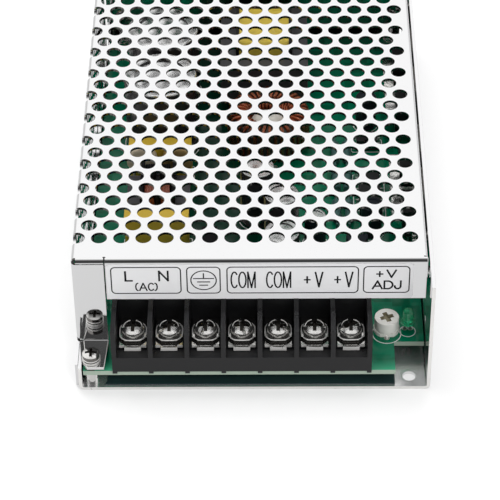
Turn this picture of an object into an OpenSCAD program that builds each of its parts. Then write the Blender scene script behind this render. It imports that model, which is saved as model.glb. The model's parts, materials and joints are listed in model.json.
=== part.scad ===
// Enclosed switching power supply: folded chassis, perforated cover, board and screw terminal strip
// Frame: X to the right, Y to the rear, Z up, origin at the centre of the underside

/* [Case] */
// Overall width of the case
case_w = 98; // [96:1:112]
// Overall length of the case
case_l = 159; // [156:1:190]
// Overall height of the case
case_h = 38; // [37:1:46]
// Thickness of the chassis sheet
chassis_t = 1; // [0.8:0.1:1.4]
// Thickness of the cover sheet
cover_t = 0.8; // [0.6:0.1:1]
// Inside radius of every sheet bend
bend_r = 0.4; // [0.3:0.1:0.8]
// Height of the low flange on the left of the chassis
low_flange_h = 8.2; // [7.6:0.1:9]
// Sliding gap between the cover's left wall and the low flange
slip = 0.1; // [0.05:0.05:0.2]
// Gap between the cover's side flange and the tall wall
wall_gap = 0.3; // [0.2:0.1:0.5]

/* [Cover] */
// Distance from the front edge of the base to the front of the cover
cover_setback = 11.3; // [10.5:0.1:13]
// Height of the front lip
lip_h = 14.2; // [13:0.1:15]
// Gap under the edges of the cover and between its folded edges
cover_gap = 0.3; // [0.2:0.1:0.5]
// Height of the flange that hangs inside the tall wall
side_flange_h = 8; // [7:0.5:9]
// Width of the ground tab folded in from the left wall
tab_w = 8.8; // [8.2:0.1:9.4]
// Slit between the ground tab and the lip
tab_slit = 0.4; // [0.3:0.1:0.6]
// Narrowing of the tab's foot on each side, from its bend to its end
foot_taper = 0.7; // [0.4:0.1:0.9]
// Distance from the front edge of the base to the end of the foot
foot_setback = 0.3; // [0.2:0.1:0.6]
// Distance from the front edge of the base to the ear under the tab
ear_setback = 1.6; // [1:0.1:3]
// Diameter of the corner reliefs
relief_d = 0.9; // [0.8:0.1:1.4]

/* [Perforation] */
// Diameter of a vent hole
hole_d = 4.4; // [3.6:0.1:4.8]
// Distance between neighbouring vent holes
hole_pitch = 6.06; // [5.8:0.02:7]
// Distance from the front of the cover to the first row
first_row = 9.3; // [7:0.1:12]
// Plain strip left behind the last row
rear_land = 10; // [8:0.5:14]
// Least plain strip beside a hole
hole_land = 0.4; // [0.3:0.1:0.8]

/* [Board] */
// Thickness of the circuit board
board_t = 1.6; // [1.2:0.1:2]
// Height of the standoffs
standoff_h = 4; // [3.6:0.1:5]
// Diameter of the standoffs
standoff_d = 4.4; // [4.2:0.1:5]
// Distance from the front edge to the standoff on the right
standoff_setback = 40; // [38:0.5:44]
// Gap around the board
board_gap = 0.3; // [0.2:0.1:0.5]
// Distance from the front edge of the base to the board
board_setback = 0.8; // [0.7:0.1:1.2]
// Distance from the rear edge of the base to the board
board_rear_gap = 4; // [3:0.5:6]
// Width of the notch in the board's front right corner
notch_w = 8.4; // [7.5:0.1:9]
// Depth of the notch in the board's front right corner
notch_d = 11.9; // [10:0.1:12.5]
// Thickness of the insulation sheet
insulation_t = 0.35; // [0.2:0.05:0.5]
// Diameter of the component leads
lead_d = 0.8; // [0.6:0.1:0.9]
// Length of lead left under the board
lead_tail = 1.2; // [0.8:0.1:1.8]
// Gap around a lead in its hole
lead_gap = 0.1; // [0.05:0.05:0.2]
// Distance between the leads of a disc or an output capacitor
lead_pitch = 5; // [4.5:0.1:5.5]
// Distance between the leads of a bulk capacitor
wide_lead_pitch = 10; // [9:0.1:11]
// Distance between the pins of chips and power devices
pin_pitch = 2.54; // [2.4:0.02:2.6]

/* [Fasteners] */
// Diameter of the machine screws
screw_d = 3; // [2.8:0.1:3.2]
// Gap around a screw in its hole
screw_gap = 0.05; // [0.03:0.01:0.1]
// Diameter of the pan heads
pan_d = 4.8; // [4.6:0.1:5.2]
// Height of the pan heads
pan_h = 1.9; // [1.6:0.1:2.2]
// Diameter of the flush countersunk heads
flush_d = 5.4; // [5:0.1:5.8]
// Thickness of the flat washer
washer_t = 0.5; // [0.4:0.1:0.7]
// Thickness of the spacer between the board and the ground tab's foot
spacer_t = 1; // [0.8:0.1:1.4]
// Thickness of the spring washer
spring_washer_t = 0.8; // [0.6:0.1:1]
// Outside diameter of the flat washer
washer_d = 4.9; // [4.6:0.1:5]

/* [Fixing holes] */
// Diameter of the fixing hole in the front right corner
corner_hole_d = 3.7; // [3.2:0.1:4]
// Distance of that hole from the right side
corner_hole_x = 5.65; // [5:0.05:6.2]
// Distance of that hole from the front edge
corner_hole_y = 4; // [3.4:0.1:5]
// Diameter of the fixing holes in the base and the tall wall
fixing_d = 3; // [2.8:0.1:3.4]
// Distance across the base between fixing holes
fixing_span_x = 74; // [70:1:76]
// Distance along the base between fixing holes
fixing_span_y = 110; // [106:1:114]
// Distance along the tall wall between fixing holes
wall_fixing_span = 128; // [126:1:132]
// Height of the fixing holes in the tall wall
wall_fixing_z = 12; // [9:0.5:14]

/* [Terminals] */
// Distance from the left side to the terminal block
block_inset = 10.4; // [10:0.1:10.8]
// Distance from the right side to the terminal block
block_room = 16.3; // [15.8:0.1:17]
// Distance from the front edge to the terminal block
block_setback = 0.4; // [0.3:0.1:0.8]
// Depth of the terminal block
block_d = 16.6; // [16:0.1:18]
// Height of the terminal block
block_h = 15; // [14:0.1:16]
// Thickness of the dividers
divider_t = 1.3; // [1:0.1:1.6]
// Height of the front sill
sill_h = 5.3; // [5:0.1:6]
// Depth of the front sill
sill_d = 3.6; // [3:0.1:4]
// How far the block's feet reach down over the board's edge
block_foot_drop = 0.7; // [0.5:0.1:1]
// Thickness of the back wall
block_back_t = 2; // [1.6:0.1:2.4]
// Height of the cell floor above the sill
floor_rise = 0.5; // [0.3:0.1:0.8]
// Thickness of the contact plates
contact_t = 0.9; // [0.7:0.1:1.1]
// Gap beside the contact plates
contact_gap = 0.6; // [0.4:0.1:0.8]
// Width of the tongue bent down at the front of a contact plate
tongue_w = 4.6; // [4:0.1:5.5]
// Distance from the front of the block to the terminal screws
clamp_y = 8.1; // [7.9:0.1:8.4]
// Gap beside the square clamp washers
clamp_side_gap = 0.55; // [0.4:0.05:0.8]
// Corner cut of the clamp washers
clamp_cut = 1.6; // [1:0.1:2]
// Thickness of the clamp washers
clamp_t = 0.9; // [0.7:0.1:1.1]
// Diameter of the terminal screw's thread
clamp_screw_d = 3.5; // [3:0.1:3.6]
// Diameter of the terminal screw's head
clamp_head_d = 6.2; // [5.8:0.1:6.6]
// Height of the terminal screw's head
clamp_head_h = 2.4; // [2:0.1:2.8]
// Length of the terminal screw under its head
clamp_screw_l = 6; // [5.4:0.1:6.4]
// Running gap around the terminal screw
clamp_gap = 0.08; // [0.05:0.01:0.1]

/* [Label] */
// Thickness of the label strip
label_t = 0.15; // [0.1:0.05:0.3]
// Height of the label strip
label_h = 12.6; // [11.5:0.1:12.8]
// Distance from the right end of the lip to the label strip
label_inset = 3.6; // [2:0.1:5]
// Corner radius of the label strip
label_r = 1; // [0.5:0.1:2]

/* [Trimmer and lamp] */
// Diameter of the trimmer's rotor
trimmer_d = 6.8; // [6.2:0.1:7]
// Height of the trimmer
trimmer_h = 4.9; // [4.6:0.1:5.6]
// Height of the trimmer's base
trimmer_base_h = 1.2; // [0.8:0.1:1.4]
// Length of the cross slot in the trimmer's rotor
rotor_slot_l = 3.8; // [3:0.1:4.4]
// Width of the cross slot in the trimmer's rotor
rotor_slot_w = 1.3; // [0.9:0.1:1.5]
// Depth of the cross slot in the trimmer's rotor
rotor_slot_h = 1.2; // [0.8:0.1:1.3]
// Diameter of the trimmer's pivot
pivot_d = 2; // [1.8:0.1:2.4]
// Running gap around the pivot
pivot_gap = 0.06; // [0.03:0.01:0.1]
// Gap under the trimmer's rotor
rotor_gap = 0.2; // [0.2:0.05:0.3]
// Distance of the trimmer from the right side
trimmer_x = 11.6; // [11.2:0.1:12]
// Distance of the trimmer from the front edge
trimmer_y = 16.8; // [16.4:0.1:17.4]
// Diameter of the lamp
lamp_d = 3; // [2.8:0.1:3.2]
// Diameter of the lamp's rim
lamp_rim_d = 4; // [3.6:0.1:4.2]
// Height of the lamp's rim above the board
lamp_stand = 2.4; // [1.8:0.1:3]
// Length of the lamp
lamp_h = 5.3; // [4.4:0.1:5.6]
// Distance of the lamp from the right side
lamp_x = 5.7; // [5.4:0.1:6]
// Distance of the lamp from the front edge
lamp_y = 17.2; // [16.6:0.1:18]

/* [Input filter] */
// Distance from the left side to the middle of the input parts
input_x = 21.2; // [20.8:0.1:22]
// Distance from the front edge to the first line capacitor
input_y = 49.2; // [49:0.1:51]
// Gap between neighbouring parts in a row
part_gap = 1.6; // [1.2:0.1:1.8]
// Width of a line capacitor
line_cap_w = 18.6; // [17:0.1:19]
// Depth of a line capacitor
line_cap_d = 5.8; // [5.5:0.1:7]
// Height of a line capacitor
line_cap_h = 13.4; // [12:0.1:16]
// Distance from the front edge to the line choke
choke_setback = 58.2; // [58:0.1:59]
// Length of the line choke
choke_w = 18.4; // [17:0.1:19]
// Depth of the line choke
choke_d = 17.6; // [16.6:0.1:18]
// Height of the line choke
choke_h = 14.4; // [13.6:0.1:16]
// Thickness of the line choke's core
choke_core_t = 4; // [3.6:0.1:4.4]
// Diameter of the safety capacitors
disc_d = 9; // [8:0.1:9.2]
// Thickness of the safety capacitors
disc_t = 3; // [2.6:0.1:3.6]
// Diameter of the varistor and the thermistor
surge_d = 10.5; // [9:0.1:12]
// Thickness of the varistor and the thermistor
surge_t = 4.4; // [4:0.1:5]
// Distance from the front edge to the middle of the fuse
fuse_setback = 34; // [32:0.5:36]
// Distance from the front edge to the varistor and the thermistor
surge_setback = 33; // [31:0.5:36]
// Length of the fuse
fuse_l = 20; // [19:0.5:21]
// Diameter of the fuse's glass
fuse_d = 4.8; // [4.4:0.1:5.2]
// Height of the fuse's axis above the board
fuse_z = 5.4; // [5:0.1:6]

/* [Power stage] */
// Diameter of the bulk capacitors
bulk_d = 22; // [20:0.5:22]
// Height of the bulk capacitors
bulk_h = 26; // [20:0.5:27]
// Length of the bridge rectifier
bridge_l = 22; // [20:0.5:24]
// Corner cut of the bridge rectifier
bridge_cut = 2.4; // [1.6:0.1:3]
// Thickness of the bridge rectifier
bridge_t = 4.4; // [4:0.1:5]
// Height of the bridge rectifier
bridge_h = 15; // [13:0.5:18]
// Width of the transformer's core across its legs
core_w = 31; // [29:0.5:32]
// Length of the transformer's core
core_l = 27; // [25:0.5:28]
// Height of the transformer's core
core_h = 12.6; // [11:0.1:13]
// Thickness of the core's outer legs and yokes
core_leg = 4.8; // [4:0.1:5.2]
// Height of the transformer's winding
winding_h = 21; // [18:0.5:23]
// Width of a power device
device_w = 10.2; // [9.8:0.1:10.6]
// Height of a power device's moulding
device_h = 9.2; // [8.8:0.1:9.6]
// Thickness of a power device
device_t = 4.5; // [4.2:0.1:4.8]
// Thickness of a power device's tab
device_tab_t = 1.3; // [1.1:0.1:1.5]
// Height of a power device's tab above its moulding
device_tab_h = 6.4; // [5.8:0.1:6.6]
// Length of a power device's legs above the board
device_leg_h = 4.6; // [4:0.1:5]
// Distance from the front edge to the middle of the output rectifiers
rectifier_y = 66; // [64:0.5:70]
// Distance from the front edge to the middle of the power transistors
transistor_y = 114; // [108:0.5:116]
// Distance between the two devices under a clamp bar
device_span = 20; // [18:0.5:22]
// Thickness of the insulating pads
pad_t = 0.3; // [0.2:0.1:0.4]
// Diameter of the hole in a power device's tab
device_hole_d = 3.6; // [3.2:0.1:4]
// Thickness of the clamp bars
clamp_bar_t = 3; // [2.4:0.1:3.4]
// Height of the clamp bars
clamp_bar_h = 6; // [5:0.1:7]

/* [Output filter] */
// Shift of the output capacitors from the middle of their column
output_shift = 5; // [4:0.1:6]
// Shift of the ring choke from the middle of its column
ring_shift = 1.3; // [0.5:0.1:1.6]
// Distance from the front edge to the first output capacitor
output_y = 36; // [35:0.1:37]
// Distance between output capacitors
output_pitch = 16.4; // [14:0.1:16.6]
// Diameter of the output capacitors
output_cap_d = 10; // [8:0.1:10.5]
// Height of the output capacitors
output_cap_h = 20; // [16:0.5:25]
// Outside diameter of the ring core
ring_d = 23; // [21:0.1:24]
// Inside diameter of the ring core
ring_bore = 13.6; // [12.6:0.1:14.4]
// Height of the ring core
ring_h = 10.6; // [9:0.1:12]
// Diameter of the ring choke's wire
wire_d = 1.3; // [1:0.1:1.4]
// Number of turns on the ring choke
ring_turns = 26; // [20:1:26]
// Distance from the last output capacitor to the ring choke
ring_gap = 18.2; // [17:0.1:19]

/* [Control] */
// Distance from the front edge to the control chip
chip_setback = 74; // [72:0.5:76]
// Distance from the front edge to the optocoupler
opto_setback = 98; // [95:0.5:100]
// Length of the optocoupler
opto_l = 4.8; // [4.4:0.1:5.2]
// Length of the control chip
chip_l = 19.2; // [18:0.1:20]
// Width of the chips
chip_w = 6.4; // [6:0.1:6.8]
// Height of the chips
chip_h = 3.4; // [3:0.1:3.8]
// Distance from the front edge to the first small capacitor
small_cap_setback = 44; // [43:0.5:46]
// Distance along the board between small capacitors
small_cap_step = 9; // [8:0.5:10]
// Distance between the leads of a small capacitor
small_lead_pitch = 2.5; // [2:0.1:3]
// Diameter of the small capacitors
small_cap_d = 6.3; // [5:0.1:6.5]
// Height of the small capacitors
small_cap_h = 11; // [9:0.5:13]
// Distance from the front edge to the first resistors
resistor_setback = 66; // [64:0.5:68]
// Length of a resistor's leads beyond its body, both ends together
resistor_reach = 4; // [3:0.1:5]
// Length of a resistor's body
resistor_l = 8; // [7:0.1:9]
// Diameter of a resistor's body
resistor_d = 2.8; // [2.2:0.1:3]

/* [Hidden] */
$fn = 48;
eps = 0.05;
poles = 7;
tiny = 0.02;
wire_gap = 0.06;

// Case planes
x_left = -case_w / 2;
x_right = case_w / 2;
y_front = -case_l / 2;
y_rear = case_l / 2;
chassis_ro = bend_r + chassis_t;
cover_ro = bend_r + cover_t;
chassis_left = x_left + cover_t + slip;
flange_inner = chassis_left + chassis_t;
wall_inner = x_right - chassis_t;
cover_right = wall_inner - wall_gap;
cover_front = y_front + cover_setback;
cover_under = case_h - cover_t;
flange_rear_cut = 3;
sheet_relief = 4;

// Board planes
board_under = chassis_t + standoff_h;
board_top = board_under + board_t;
board_left = flange_inner + board_gap;
board_right = wall_inner - board_gap;
board_front = y_front + board_setback;
board_rear = y_rear - board_rear_gap;
notch_left = board_right - notch_w;

// Cover details
tab_right = x_left + tab_w;
tab_top = case_h - cover_ro - cover_gap;
lip_left = tab_right + tab_slit;
lip_right = cover_right - cover_gap;
ear_h = low_flange_h;
foot_under = board_top + spacer_t;
foot_top = foot_under + cover_t;
tab_low = max(ear_h + cover_gap, foot_top + bend_r);
foot_end = y_front + foot_setback;
foot_chamfer = 1;
foot_left = flange_inner + slip;

// Perforation
row_pitch = hole_pitch * sin(60);
hole_x0 = x_left + cover_ro;
bend_arc = (bend_r + cover_t / 2) * PI / 2;
row_count = floor((y_rear - cover_front - first_row - rear_land) / row_pitch) + 1;
hole_limit = cover_right - cover_ro - hole_land - hole_d / 2;
wall_hole_limit = low_flange_h + hole_land + hole_d / 2;

// Screw places
cover_screw_z = case_h - side_flange_h / 2 - cover_ro / 2;
cover_screw_end = 26;
low_screw_z = board_under - screw_d / 2 - board_gap;
flush_h = (flush_d - screw_d) / 2;
flush_screw_l = 5;
ground_x = flange_inner + bend_r + standoff_d / 2;
ground_y = foot_end + washer_d / 2 + 0.5;
standoff_inset = pan_d / 2 + 1.2;
standoff_places = [
    [ground_x, ground_y],
    [board_left + standoff_inset, board_rear - standoff_inset],
    [board_right - standoff_inset, board_rear - standoff_inset],
    [board_right - standoff_inset, y_front + standoff_setback]
];
board_screw_l = board_t + standoff_h - 1;
ground_screw_l = board_screw_l + spacer_t + cover_t + washer_t + spring_washer_t;

// Terminal block
block_left = x_left + block_inset;
block_w = case_w - block_inset - block_room;
pole_pitch = (block_w - divider_t) / poles;
cell_w = pole_pitch - divider_t;
contact_w = cell_w - 2 * contact_gap;
clamp_w = cell_w - 2 * clamp_side_gap;
block_front = y_front + block_setback;
sill_top = board_top + sill_h;
floor_top = sill_top + floor_rise;
contact_top = floor_top + contact_t;
clamp_center_y = block_front + clamp_y;
clamp_head_z = contact_top + clamp_t;
contact_rear = block_front + block_d - block_back_t - lead_gap;
contact_front = block_front + sill_d - lead_gap;
contact_pin_y = contact_rear - 1.4;
contact_pin_d = 1.4;
screw_well_d = clamp_screw_d + 1.2;

// Trimmer
trimmer_flat = trimmer_d / 2 - 0.3;
pivot_h = trimmer_h - rotor_slot_h - 1;

// Input parts
input_mid = x_left + input_x;
choke_front = y_front + choke_setback;
disc_mid = choke_front + choke_d + part_gap + disc_t / 2;
rear_cap_front = disc_mid + disc_t / 2 + part_gap;
bulk_1_y = rear_cap_front + line_cap_d + part_gap + bulk_d / 2;
bulk_2_y = bulk_1_y + bulk_d + part_gap;
line_cap_mids = [y_front + input_y + line_cap_d / 2, rear_cap_front + line_cap_d / 2];
bulk_mids = [bulk_1_y, bulk_2_y];
lead_span = 0.8;
surge_y = y_front + surge_setback;
disc_mids = [input_mid - disc_d / 2 - part_gap / 2, input_mid + disc_d / 2 + part_gap / 2];
surge_stand = 1.2;
disc_stand = 6.4;
fuse_cap_l = 5;
fuse_cap_t = 0.3;
fuse_clip_t = 0.4;
fuse_clip_w = 4;
fuse_half = fuse_d / 2 + fuse_cap_t + fuse_clip_t;
fuse_mid_x = board_left + fuse_half + board_gap;
fuse_mid_y = y_front + fuse_setback;
surge_left = fuse_mid_x + fuse_half + part_gap + surge_d / 2;
surge_mids = [surge_left, surge_left + surge_d + part_gap];
choke_leg_span = choke_d / 2;
choke_flange_t = 1;
choke_half = choke_w / 2 - choke_core_t - wire_gap;
choke_flange_w = choke_leg_span - 0.6;
choke_coil_w = choke_flange_w - 1.2;
choke_coil_h = choke_h - 1.6;
choke_mid_y = choke_front + choke_d / 2;
choke_mid_z = board_top + choke_h / 2;
choke_legs = [choke_mid_y - choke_leg_span / 2, choke_mid_y + choke_leg_span / 2];

// Right side parts
device_back = wall_inner - pad_t;
device_low = board_top + device_leg_h;
device_leg_x = device_back - device_t * 0.58;
rectifier_mid = y_front + rectifier_y;
transistor_mid = y_front + transistor_y;
device_mids = [rectifier_mid, transistor_mid];
clamp_bar_z = device_low + device_h / 2;
clamp_bar_x = device_back - device_t;
clamp_bar_l = device_span + device_w * 0.7;
chip_stand = 0.4;
chip_pin_w = 0.5;
chip_row = chip_w + 1.2;
chip_x = clamp_bar_x - clamp_bar_t - part_gap - (chip_row + chip_pin_w) / 2;
chip_y = y_front + chip_setback;
opto_y = y_front + opto_setback;
resistor_z = resistor_d / 2;
resistor_step = resistor_d + part_gap / 2;
resistor_x = chip_x - (chip_row + chip_pin_w) / 2 - part_gap / 2 - resistor_d / 2 - resistor_step;
resistor_pitch = resistor_l + resistor_reach + 2 * lead_d;
resistors = [for (k = [0:2], c = [0:1])
    [resistor_x + resistor_step * c, y_front + resistor_setback + resistor_pitch * k]];
bridge_x = surge_mids[1] + surge_d / 2 + part_gap + bridge_t / 2;
bridge_mid_y = surge_y;

// Middle column, between the input parts and the resistors
column_left = input_mid + bulk_d / 2;
column_right = resistor_x - resistor_d / 2;
column_mid = (column_left + column_right) / 2;
output_x = column_mid + output_shift;
small_caps = [
    [output_x + output_cap_d / 2 + part_gap + small_cap_d / 2, y_front + small_cap_setback + small_cap_step],
    [chip_x - small_cap_d / 2 - part_gap, y_front + small_cap_setback],
    [chip_x, chip_y - chip_l / 2 - 2 * part_gap - small_cap_d / 2],
    [chip_x, opto_y + opto_l / 2 + 3 * part_gap + small_cap_d / 2]
];

// Output parts
output_caps = [
    [output_x, y_front + output_y],
    [output_x, y_front + output_y + output_pitch],
    [output_x - 0.7 * output_cap_d, y_front + output_y + output_pitch + 1.2 * output_cap_d]
];
ring_outer_r = ring_d / 2 + wire_d;
ring_mid_x = column_mid + ring_shift;
ring_mid_y = output_caps[2][1] + output_cap_d / 2 + ring_gap + ring_outer_r;
ring_low = board_top + wire_d + 2 * tiny;
ring_hole_r = ring_bore / 2 - wire_d - wire_gap;
seal_r = ring_hole_r - 0.4;
seal_h = ring_h * 0.8;

// Transformer
core_mid_x = column_mid;
core_front = ring_mid_y + ring_outer_r + part_gap;
core_mid_y = core_front + core_w / 2;
winding_w = core_w - 2 * core_leg - 1.4;
winding_l = core_l - 2 * core_leg - 2;
core_mid_z = board_top + winding_h / 2 + 1.4;
center_leg = 9;
bobbin_t = 0.9;
rail_h = 4;

// Leads: every lead's place on the board, for the parts and for the holes
function pair(x, y, span) = [[x - span / 2, y], [x + span / 2, y]];
function fore_aft(x, y, span) = [[x, y - span / 2], [x, y + span / 2]];
function device_legs(mid) = [for (s = [-1, 1], k = [-1:1])
    [device_leg_x, mid + s * device_span / 2 + k * pin_pitch]];
function chip_legs(x, y, n) = [for (s = [-1, 1], k = [0:n - 1])
    [x + s * chip_row / 2, y + (k - (n - 1) / 2) * pin_pitch]];
line_cap_leads = [for (y = line_cap_mids) each pair(input_mid, y, lead_span * line_cap_w)];
choke_leads = [for (y = choke_legs) each pair(input_mid, y, 2 * choke_half - choke_flange_t)];
disc_leads = [for (x = disc_mids) each pair(x, disc_mid, lead_pitch)];
surge_leads = [for (x = surge_mids) each pair(x, surge_y, lead_pitch)];
bulk_leads = [for (y = bulk_mids) each pair(input_mid, y, wide_lead_pitch)];
output_leads = [for (p = output_caps) each pair(p[0], p[1], lead_pitch)];
small_leads = [for (p = small_caps) each pair(p[0], p[1], small_lead_pitch)];
bridge_leads = [for (k = [0:3]) [bridge_x, bridge_mid_y + (k - 1.5) * bridge_l / 4.4]];
core_leads = [for (s = [-1, 1], k = [-2:2]) [core_mid_x + s * (winding_l / 2 + 2), core_mid_y + k * 4]];
ring_leads = pair(ring_mid_x, ring_mid_y - ring_d / 2 - wire_d / 2 - tiny, 4);
clip_leads = fore_aft(fuse_mid_x, fuse_mid_y, fuse_l - fuse_cap_l);
resistor_leads = [for (p = resistors) each fore_aft(p[0], p[1], resistor_l + resistor_reach)];
lamp_leads = pair(x_right - lamp_x, y_front + lamp_y, 1.6);
trimmer_leads = [[x_right - trimmer_x, y_front + trimmer_y - trimmer_flat - lead_d / 2 + eps],
    [x_right - trimmer_x - 1.8, y_front + trimmer_y + 1.6],
    [x_right - trimmer_x + 1.8, y_front + trimmer_y + 1.6]];
contact_pins = [for (i = [0:poles - 1]) [pole_x(i), contact_pin_y]];
round_leads = concat(line_cap_leads, choke_leads, disc_leads, surge_leads, bulk_leads, output_leads,
    small_leads, bridge_leads, core_leads, clip_leads, resistor_leads, lamp_leads, trimmer_leads,
    device_legs(rectifier_mid), device_legs(transistor_mid), chip_legs(chip_x, chip_y, 8),
    chip_legs(chip_x, opto_y, 2));
function pole_x(i) = block_left + divider_t / 2 + (i + 0.5) * pole_pitch;

// Shared shapes

// Carries an outline drawn in X and Z along Y
module along_y(from, to) {
    translate([0, to, 0]) rotate([90, 0, 0]) linear_extrude(to - from) children();
}

// Carries an outline drawn in Y and Z along X
module along_x(from, to) {
    translate([from, 0, 0]) rotate([90, 0, 90]) linear_extrude(to - from) children();
}

// Carries an outline drawn in X and Y along Z
module along_z(from, to) {
    translate([0, 0, from]) linear_extrude(to - from) children();
}

// Quarter of a bend in a sheet, in the quadrant that starts at the angle turn
module bend_section(t, turn) {
    intersection() {
        difference() {
            circle(bend_r + t);
            circle(bend_r);
        }
        rotate(turn) square(bend_r + t);
    }
}

module rect(x0, y0, x1, y1) {
    translate([x0, y0]) square([x1 - x0, y1 - y0]);
}

module box(low, high) {
    translate(low) cube(high - low);
}

module rounded_rect(w, h, r) {
    square([w - 2 * r, h], center = true);
    square([w, h - 2 * r], center = true);
    for (sx = [-1, 1], sy = [-1, 1]) translate([sx * (w / 2 - r), sy * (h / 2 - r)]) circle(r);
}

// Straight leads from the height z down through the board
module leads(places, z) {
    for (p = places) translate([p[0], p[1], board_under - lead_tail])
        cylinder(d = lead_d, h = z - board_under + lead_tail);
}

// Domed screw head standing on the origin, with a cross recess
module domed_head(d, h, recess) {
    difference() {
        rotate_extrude() intersection() {
            square([d / 2, h]);
            translate([0, h - 1.15 * d]) circle(1.15 * d, $fn = 96);
        }
        for (turn = [0, 90]) rotate(turn) translate([-d * 0.34, -recess / 2, h - 1.1])
            cube([d * 0.68, recess, 2]);
    }
}

// Flush screw with its head at the origin and its thread along -Z
module flush_screw() {
    difference() {
        union() {
            translate([0, 0, -flush_h]) cylinder(d1 = screw_d, d2 = flush_d, h = flush_h);
            translate([0, 0, -flush_screw_l]) cylinder(d = screw_d, h = flush_screw_l - flush_h + tiny);
        }
        for (turn = [0, 90]) rotate(turn) translate([-1.5, -0.3, -0.9]) cube([3, 0.6, 2]);
    }
}

// Room for a flush screw, with its gap
module flush_hole() {
    translate([0, 0, -flush_h - screw_gap]) cylinder(d1 = screw_d, d2 = flush_d + 2 * screw_gap,
        h = flush_h + screw_gap);
    translate([0, 0, -flush_screw_l - 2]) cylinder(d = screw_d + 2 * screw_gap, h = flush_screw_l + 2 + eps);
}

// Places on the tall wall where flush screws hold the cover
module at_wall_screws() {
    for (y = [y_front + cover_screw_end, y_rear - cover_screw_end])
        translate([x_right, y, cover_screw_z]) rotate([0, 90, 0]) children();
}

// Places on the left side where flush screws hold the cover to the low flange
module at_low_screws() {
    for (y = [y_front + cover_screw_end, y_rear - cover_screw_end])
        translate([x_left, y, low_screw_z]) rotate([0, -90, 0]) children();
}

// Places on the tall wall where the clamp bars are screwed
module at_clamp_screws() {
    for (y = device_mids) translate([x_right, y, clamp_bar_z]) rotate([0, 90, 0]) children();
}

// Upright radial can with a rolled groove near its foot
module can(d, h) {
    groove = d * 0.04;
    rotate_extrude() difference() {
        union() {
            square([d / 2 - groove, h]);
            rect(0, groove, d / 2, h - groove);
            translate([d / 2 - groove, groove]) circle(groove, $fn = 24);
            translate([d / 2 - groove, h - groove]) circle(groove, $fn = 24);
        }
        translate([d / 2 + groove * 0.4, d * 0.2]) circle(groove, $fn = 24);
        rect(-eps, h - groove * 0.8, d * 0.36, h + eps);
    }
}

module can_at(p, d, h, span) {
    translate([p[0], p[1], board_top]) can(d, h);
    leads(pair(p[0], p[1], span), board_top + tiny);
}

// Upright dipped disc on two leads, standing across X
module disc_at(x, y, d, t, stand) {
    translate([x, y, board_top + stand + d / 2]) rotate([90, 0, 0]) rotate_extrude() {
        rect(0, -t / 2, d / 2 - t / 3, t / 2);
        translate([d / 2 - t / 3, 0]) intersection() {
            circle(t / 2);
            rect(0, -t, t / 3, t);
        }
    }
}

// Chip on two rows of legs
module chip_at(x, y, l, n) {
    translate([x, y, board_top + chip_stand]) difference() {
        translate([-chip_w / 2, -l / 2, 0]) cube([chip_w, l, chip_h]);
        translate([0, -l / 2, chip_h]) cylinder(d = 1.6, h = 1, center = true);
    }
    for (p = chip_legs(x, y, n)) {
        side = p[0] > x ? 1 : -1;
        z = board_top + chip_stand + chip_h / 2;
        translate([p[0], p[1], board_under - lead_tail])
            linear_extrude(z - board_under + lead_tail) square(chip_pin_w, center = true);
        translate([p[0] - side * 0.3, p[1], z]) cube([0.6 + chip_pin_w, chip_pin_w, 0.3], center = true);
    }
}

// Power device against the tall wall: moulding, tab with a hole, three legs
module device_at(y) {
    box([device_back - device_t, y - device_w / 2, device_low],
        [device_back, y + device_w / 2, device_low + device_h]);
    difference() {
        box([device_back - device_tab_t, y - device_w / 2, device_low + device_h],
            [device_back, y + device_w / 2, device_low + device_h + device_tab_h]);
        translate([device_back, y, device_low + device_h + device_tab_h / 2]) rotate([0, 90, 0])
            cylinder(d = device_hole_d, h = 4, center = true);
    }
    for (k = [-1:1]) translate([device_leg_x, y + k * pin_pitch, board_under - lead_tail])
        linear_extrude(device_low - board_under + lead_tail) square([0.5, 0.7], center = true);
}

// Case

module chassis_section() {
    rect(chassis_left + chassis_ro, 0, x_right - chassis_ro, chassis_t);
    rect(chassis_left, chassis_ro, flange_inner, low_flange_h);
    rect(wall_inner, chassis_ro, x_right, case_h);
    translate([chassis_left + chassis_ro, chassis_ro]) bend_section(chassis_t, 180);
    translate([x_right - chassis_ro, chassis_ro]) bend_section(chassis_t, 270);
}

module base_fixing_holes(d, h) {
    for (sx = [-1, 1], sy = [-1, 1]) translate([sx * fixing_span_x / 2, sy * fixing_span_y / 2, -eps])
        cylinder(d = d, h = h);
}

module chassis() color("silver") difference() {
    along_y(y_front, y_rear) chassis_section();
    box([chassis_left - eps, y_rear - flange_rear_cut, chassis_ro],
        [flange_inner + bend_r, y_rear + eps, low_flange_h + eps]);
    translate([x_right - corner_hole_x, y_front + corner_hole_y, -eps])
        cylinder(d = corner_hole_d, h = chassis_t + 2 * eps);
    base_fixing_holes(fixing_d, chassis_t + 2 * eps);
    for (s = [-1, 1]) translate([wall_inner - eps, s * wall_fixing_span / 2, wall_fixing_z])
        rotate([0, 90, 0]) cylinder(d = fixing_d, h = chassis_t + 2 * eps);
    at_wall_screws() flush_hole();
    at_low_screws() flush_hole();
    at_clamp_screws() flush_hole();
}

function row_y(r) = cover_front + first_row + r * row_pitch;
function row_shift(r) = (r % 2) * hole_pitch / 2;

module top_holes() {
    for (r = [0:row_count - 1]) {
        for (x = [hole_x0 + row_shift(r):hole_pitch:hole_limit]) translate([x, row_y(r)]) circle(d = hole_d);
    }
}

// Height of a hole on the left wall that lies the distance u round the bend from the top
function unfolded_z(u) = case_h - cover_ro - (u - bend_arc);

module left_wall_holes() {
    for (r = [0:row_count - 1]) {
        first = r % 2 == 0 ? hole_pitch : 1.5 * hole_pitch;
        for (u = [first:hole_pitch:case_h]) if (unfolded_z(u) > wall_hole_limit)
            translate([row_y(r), unfolded_z(u)]) circle(d = hole_d);
    }
}

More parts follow.
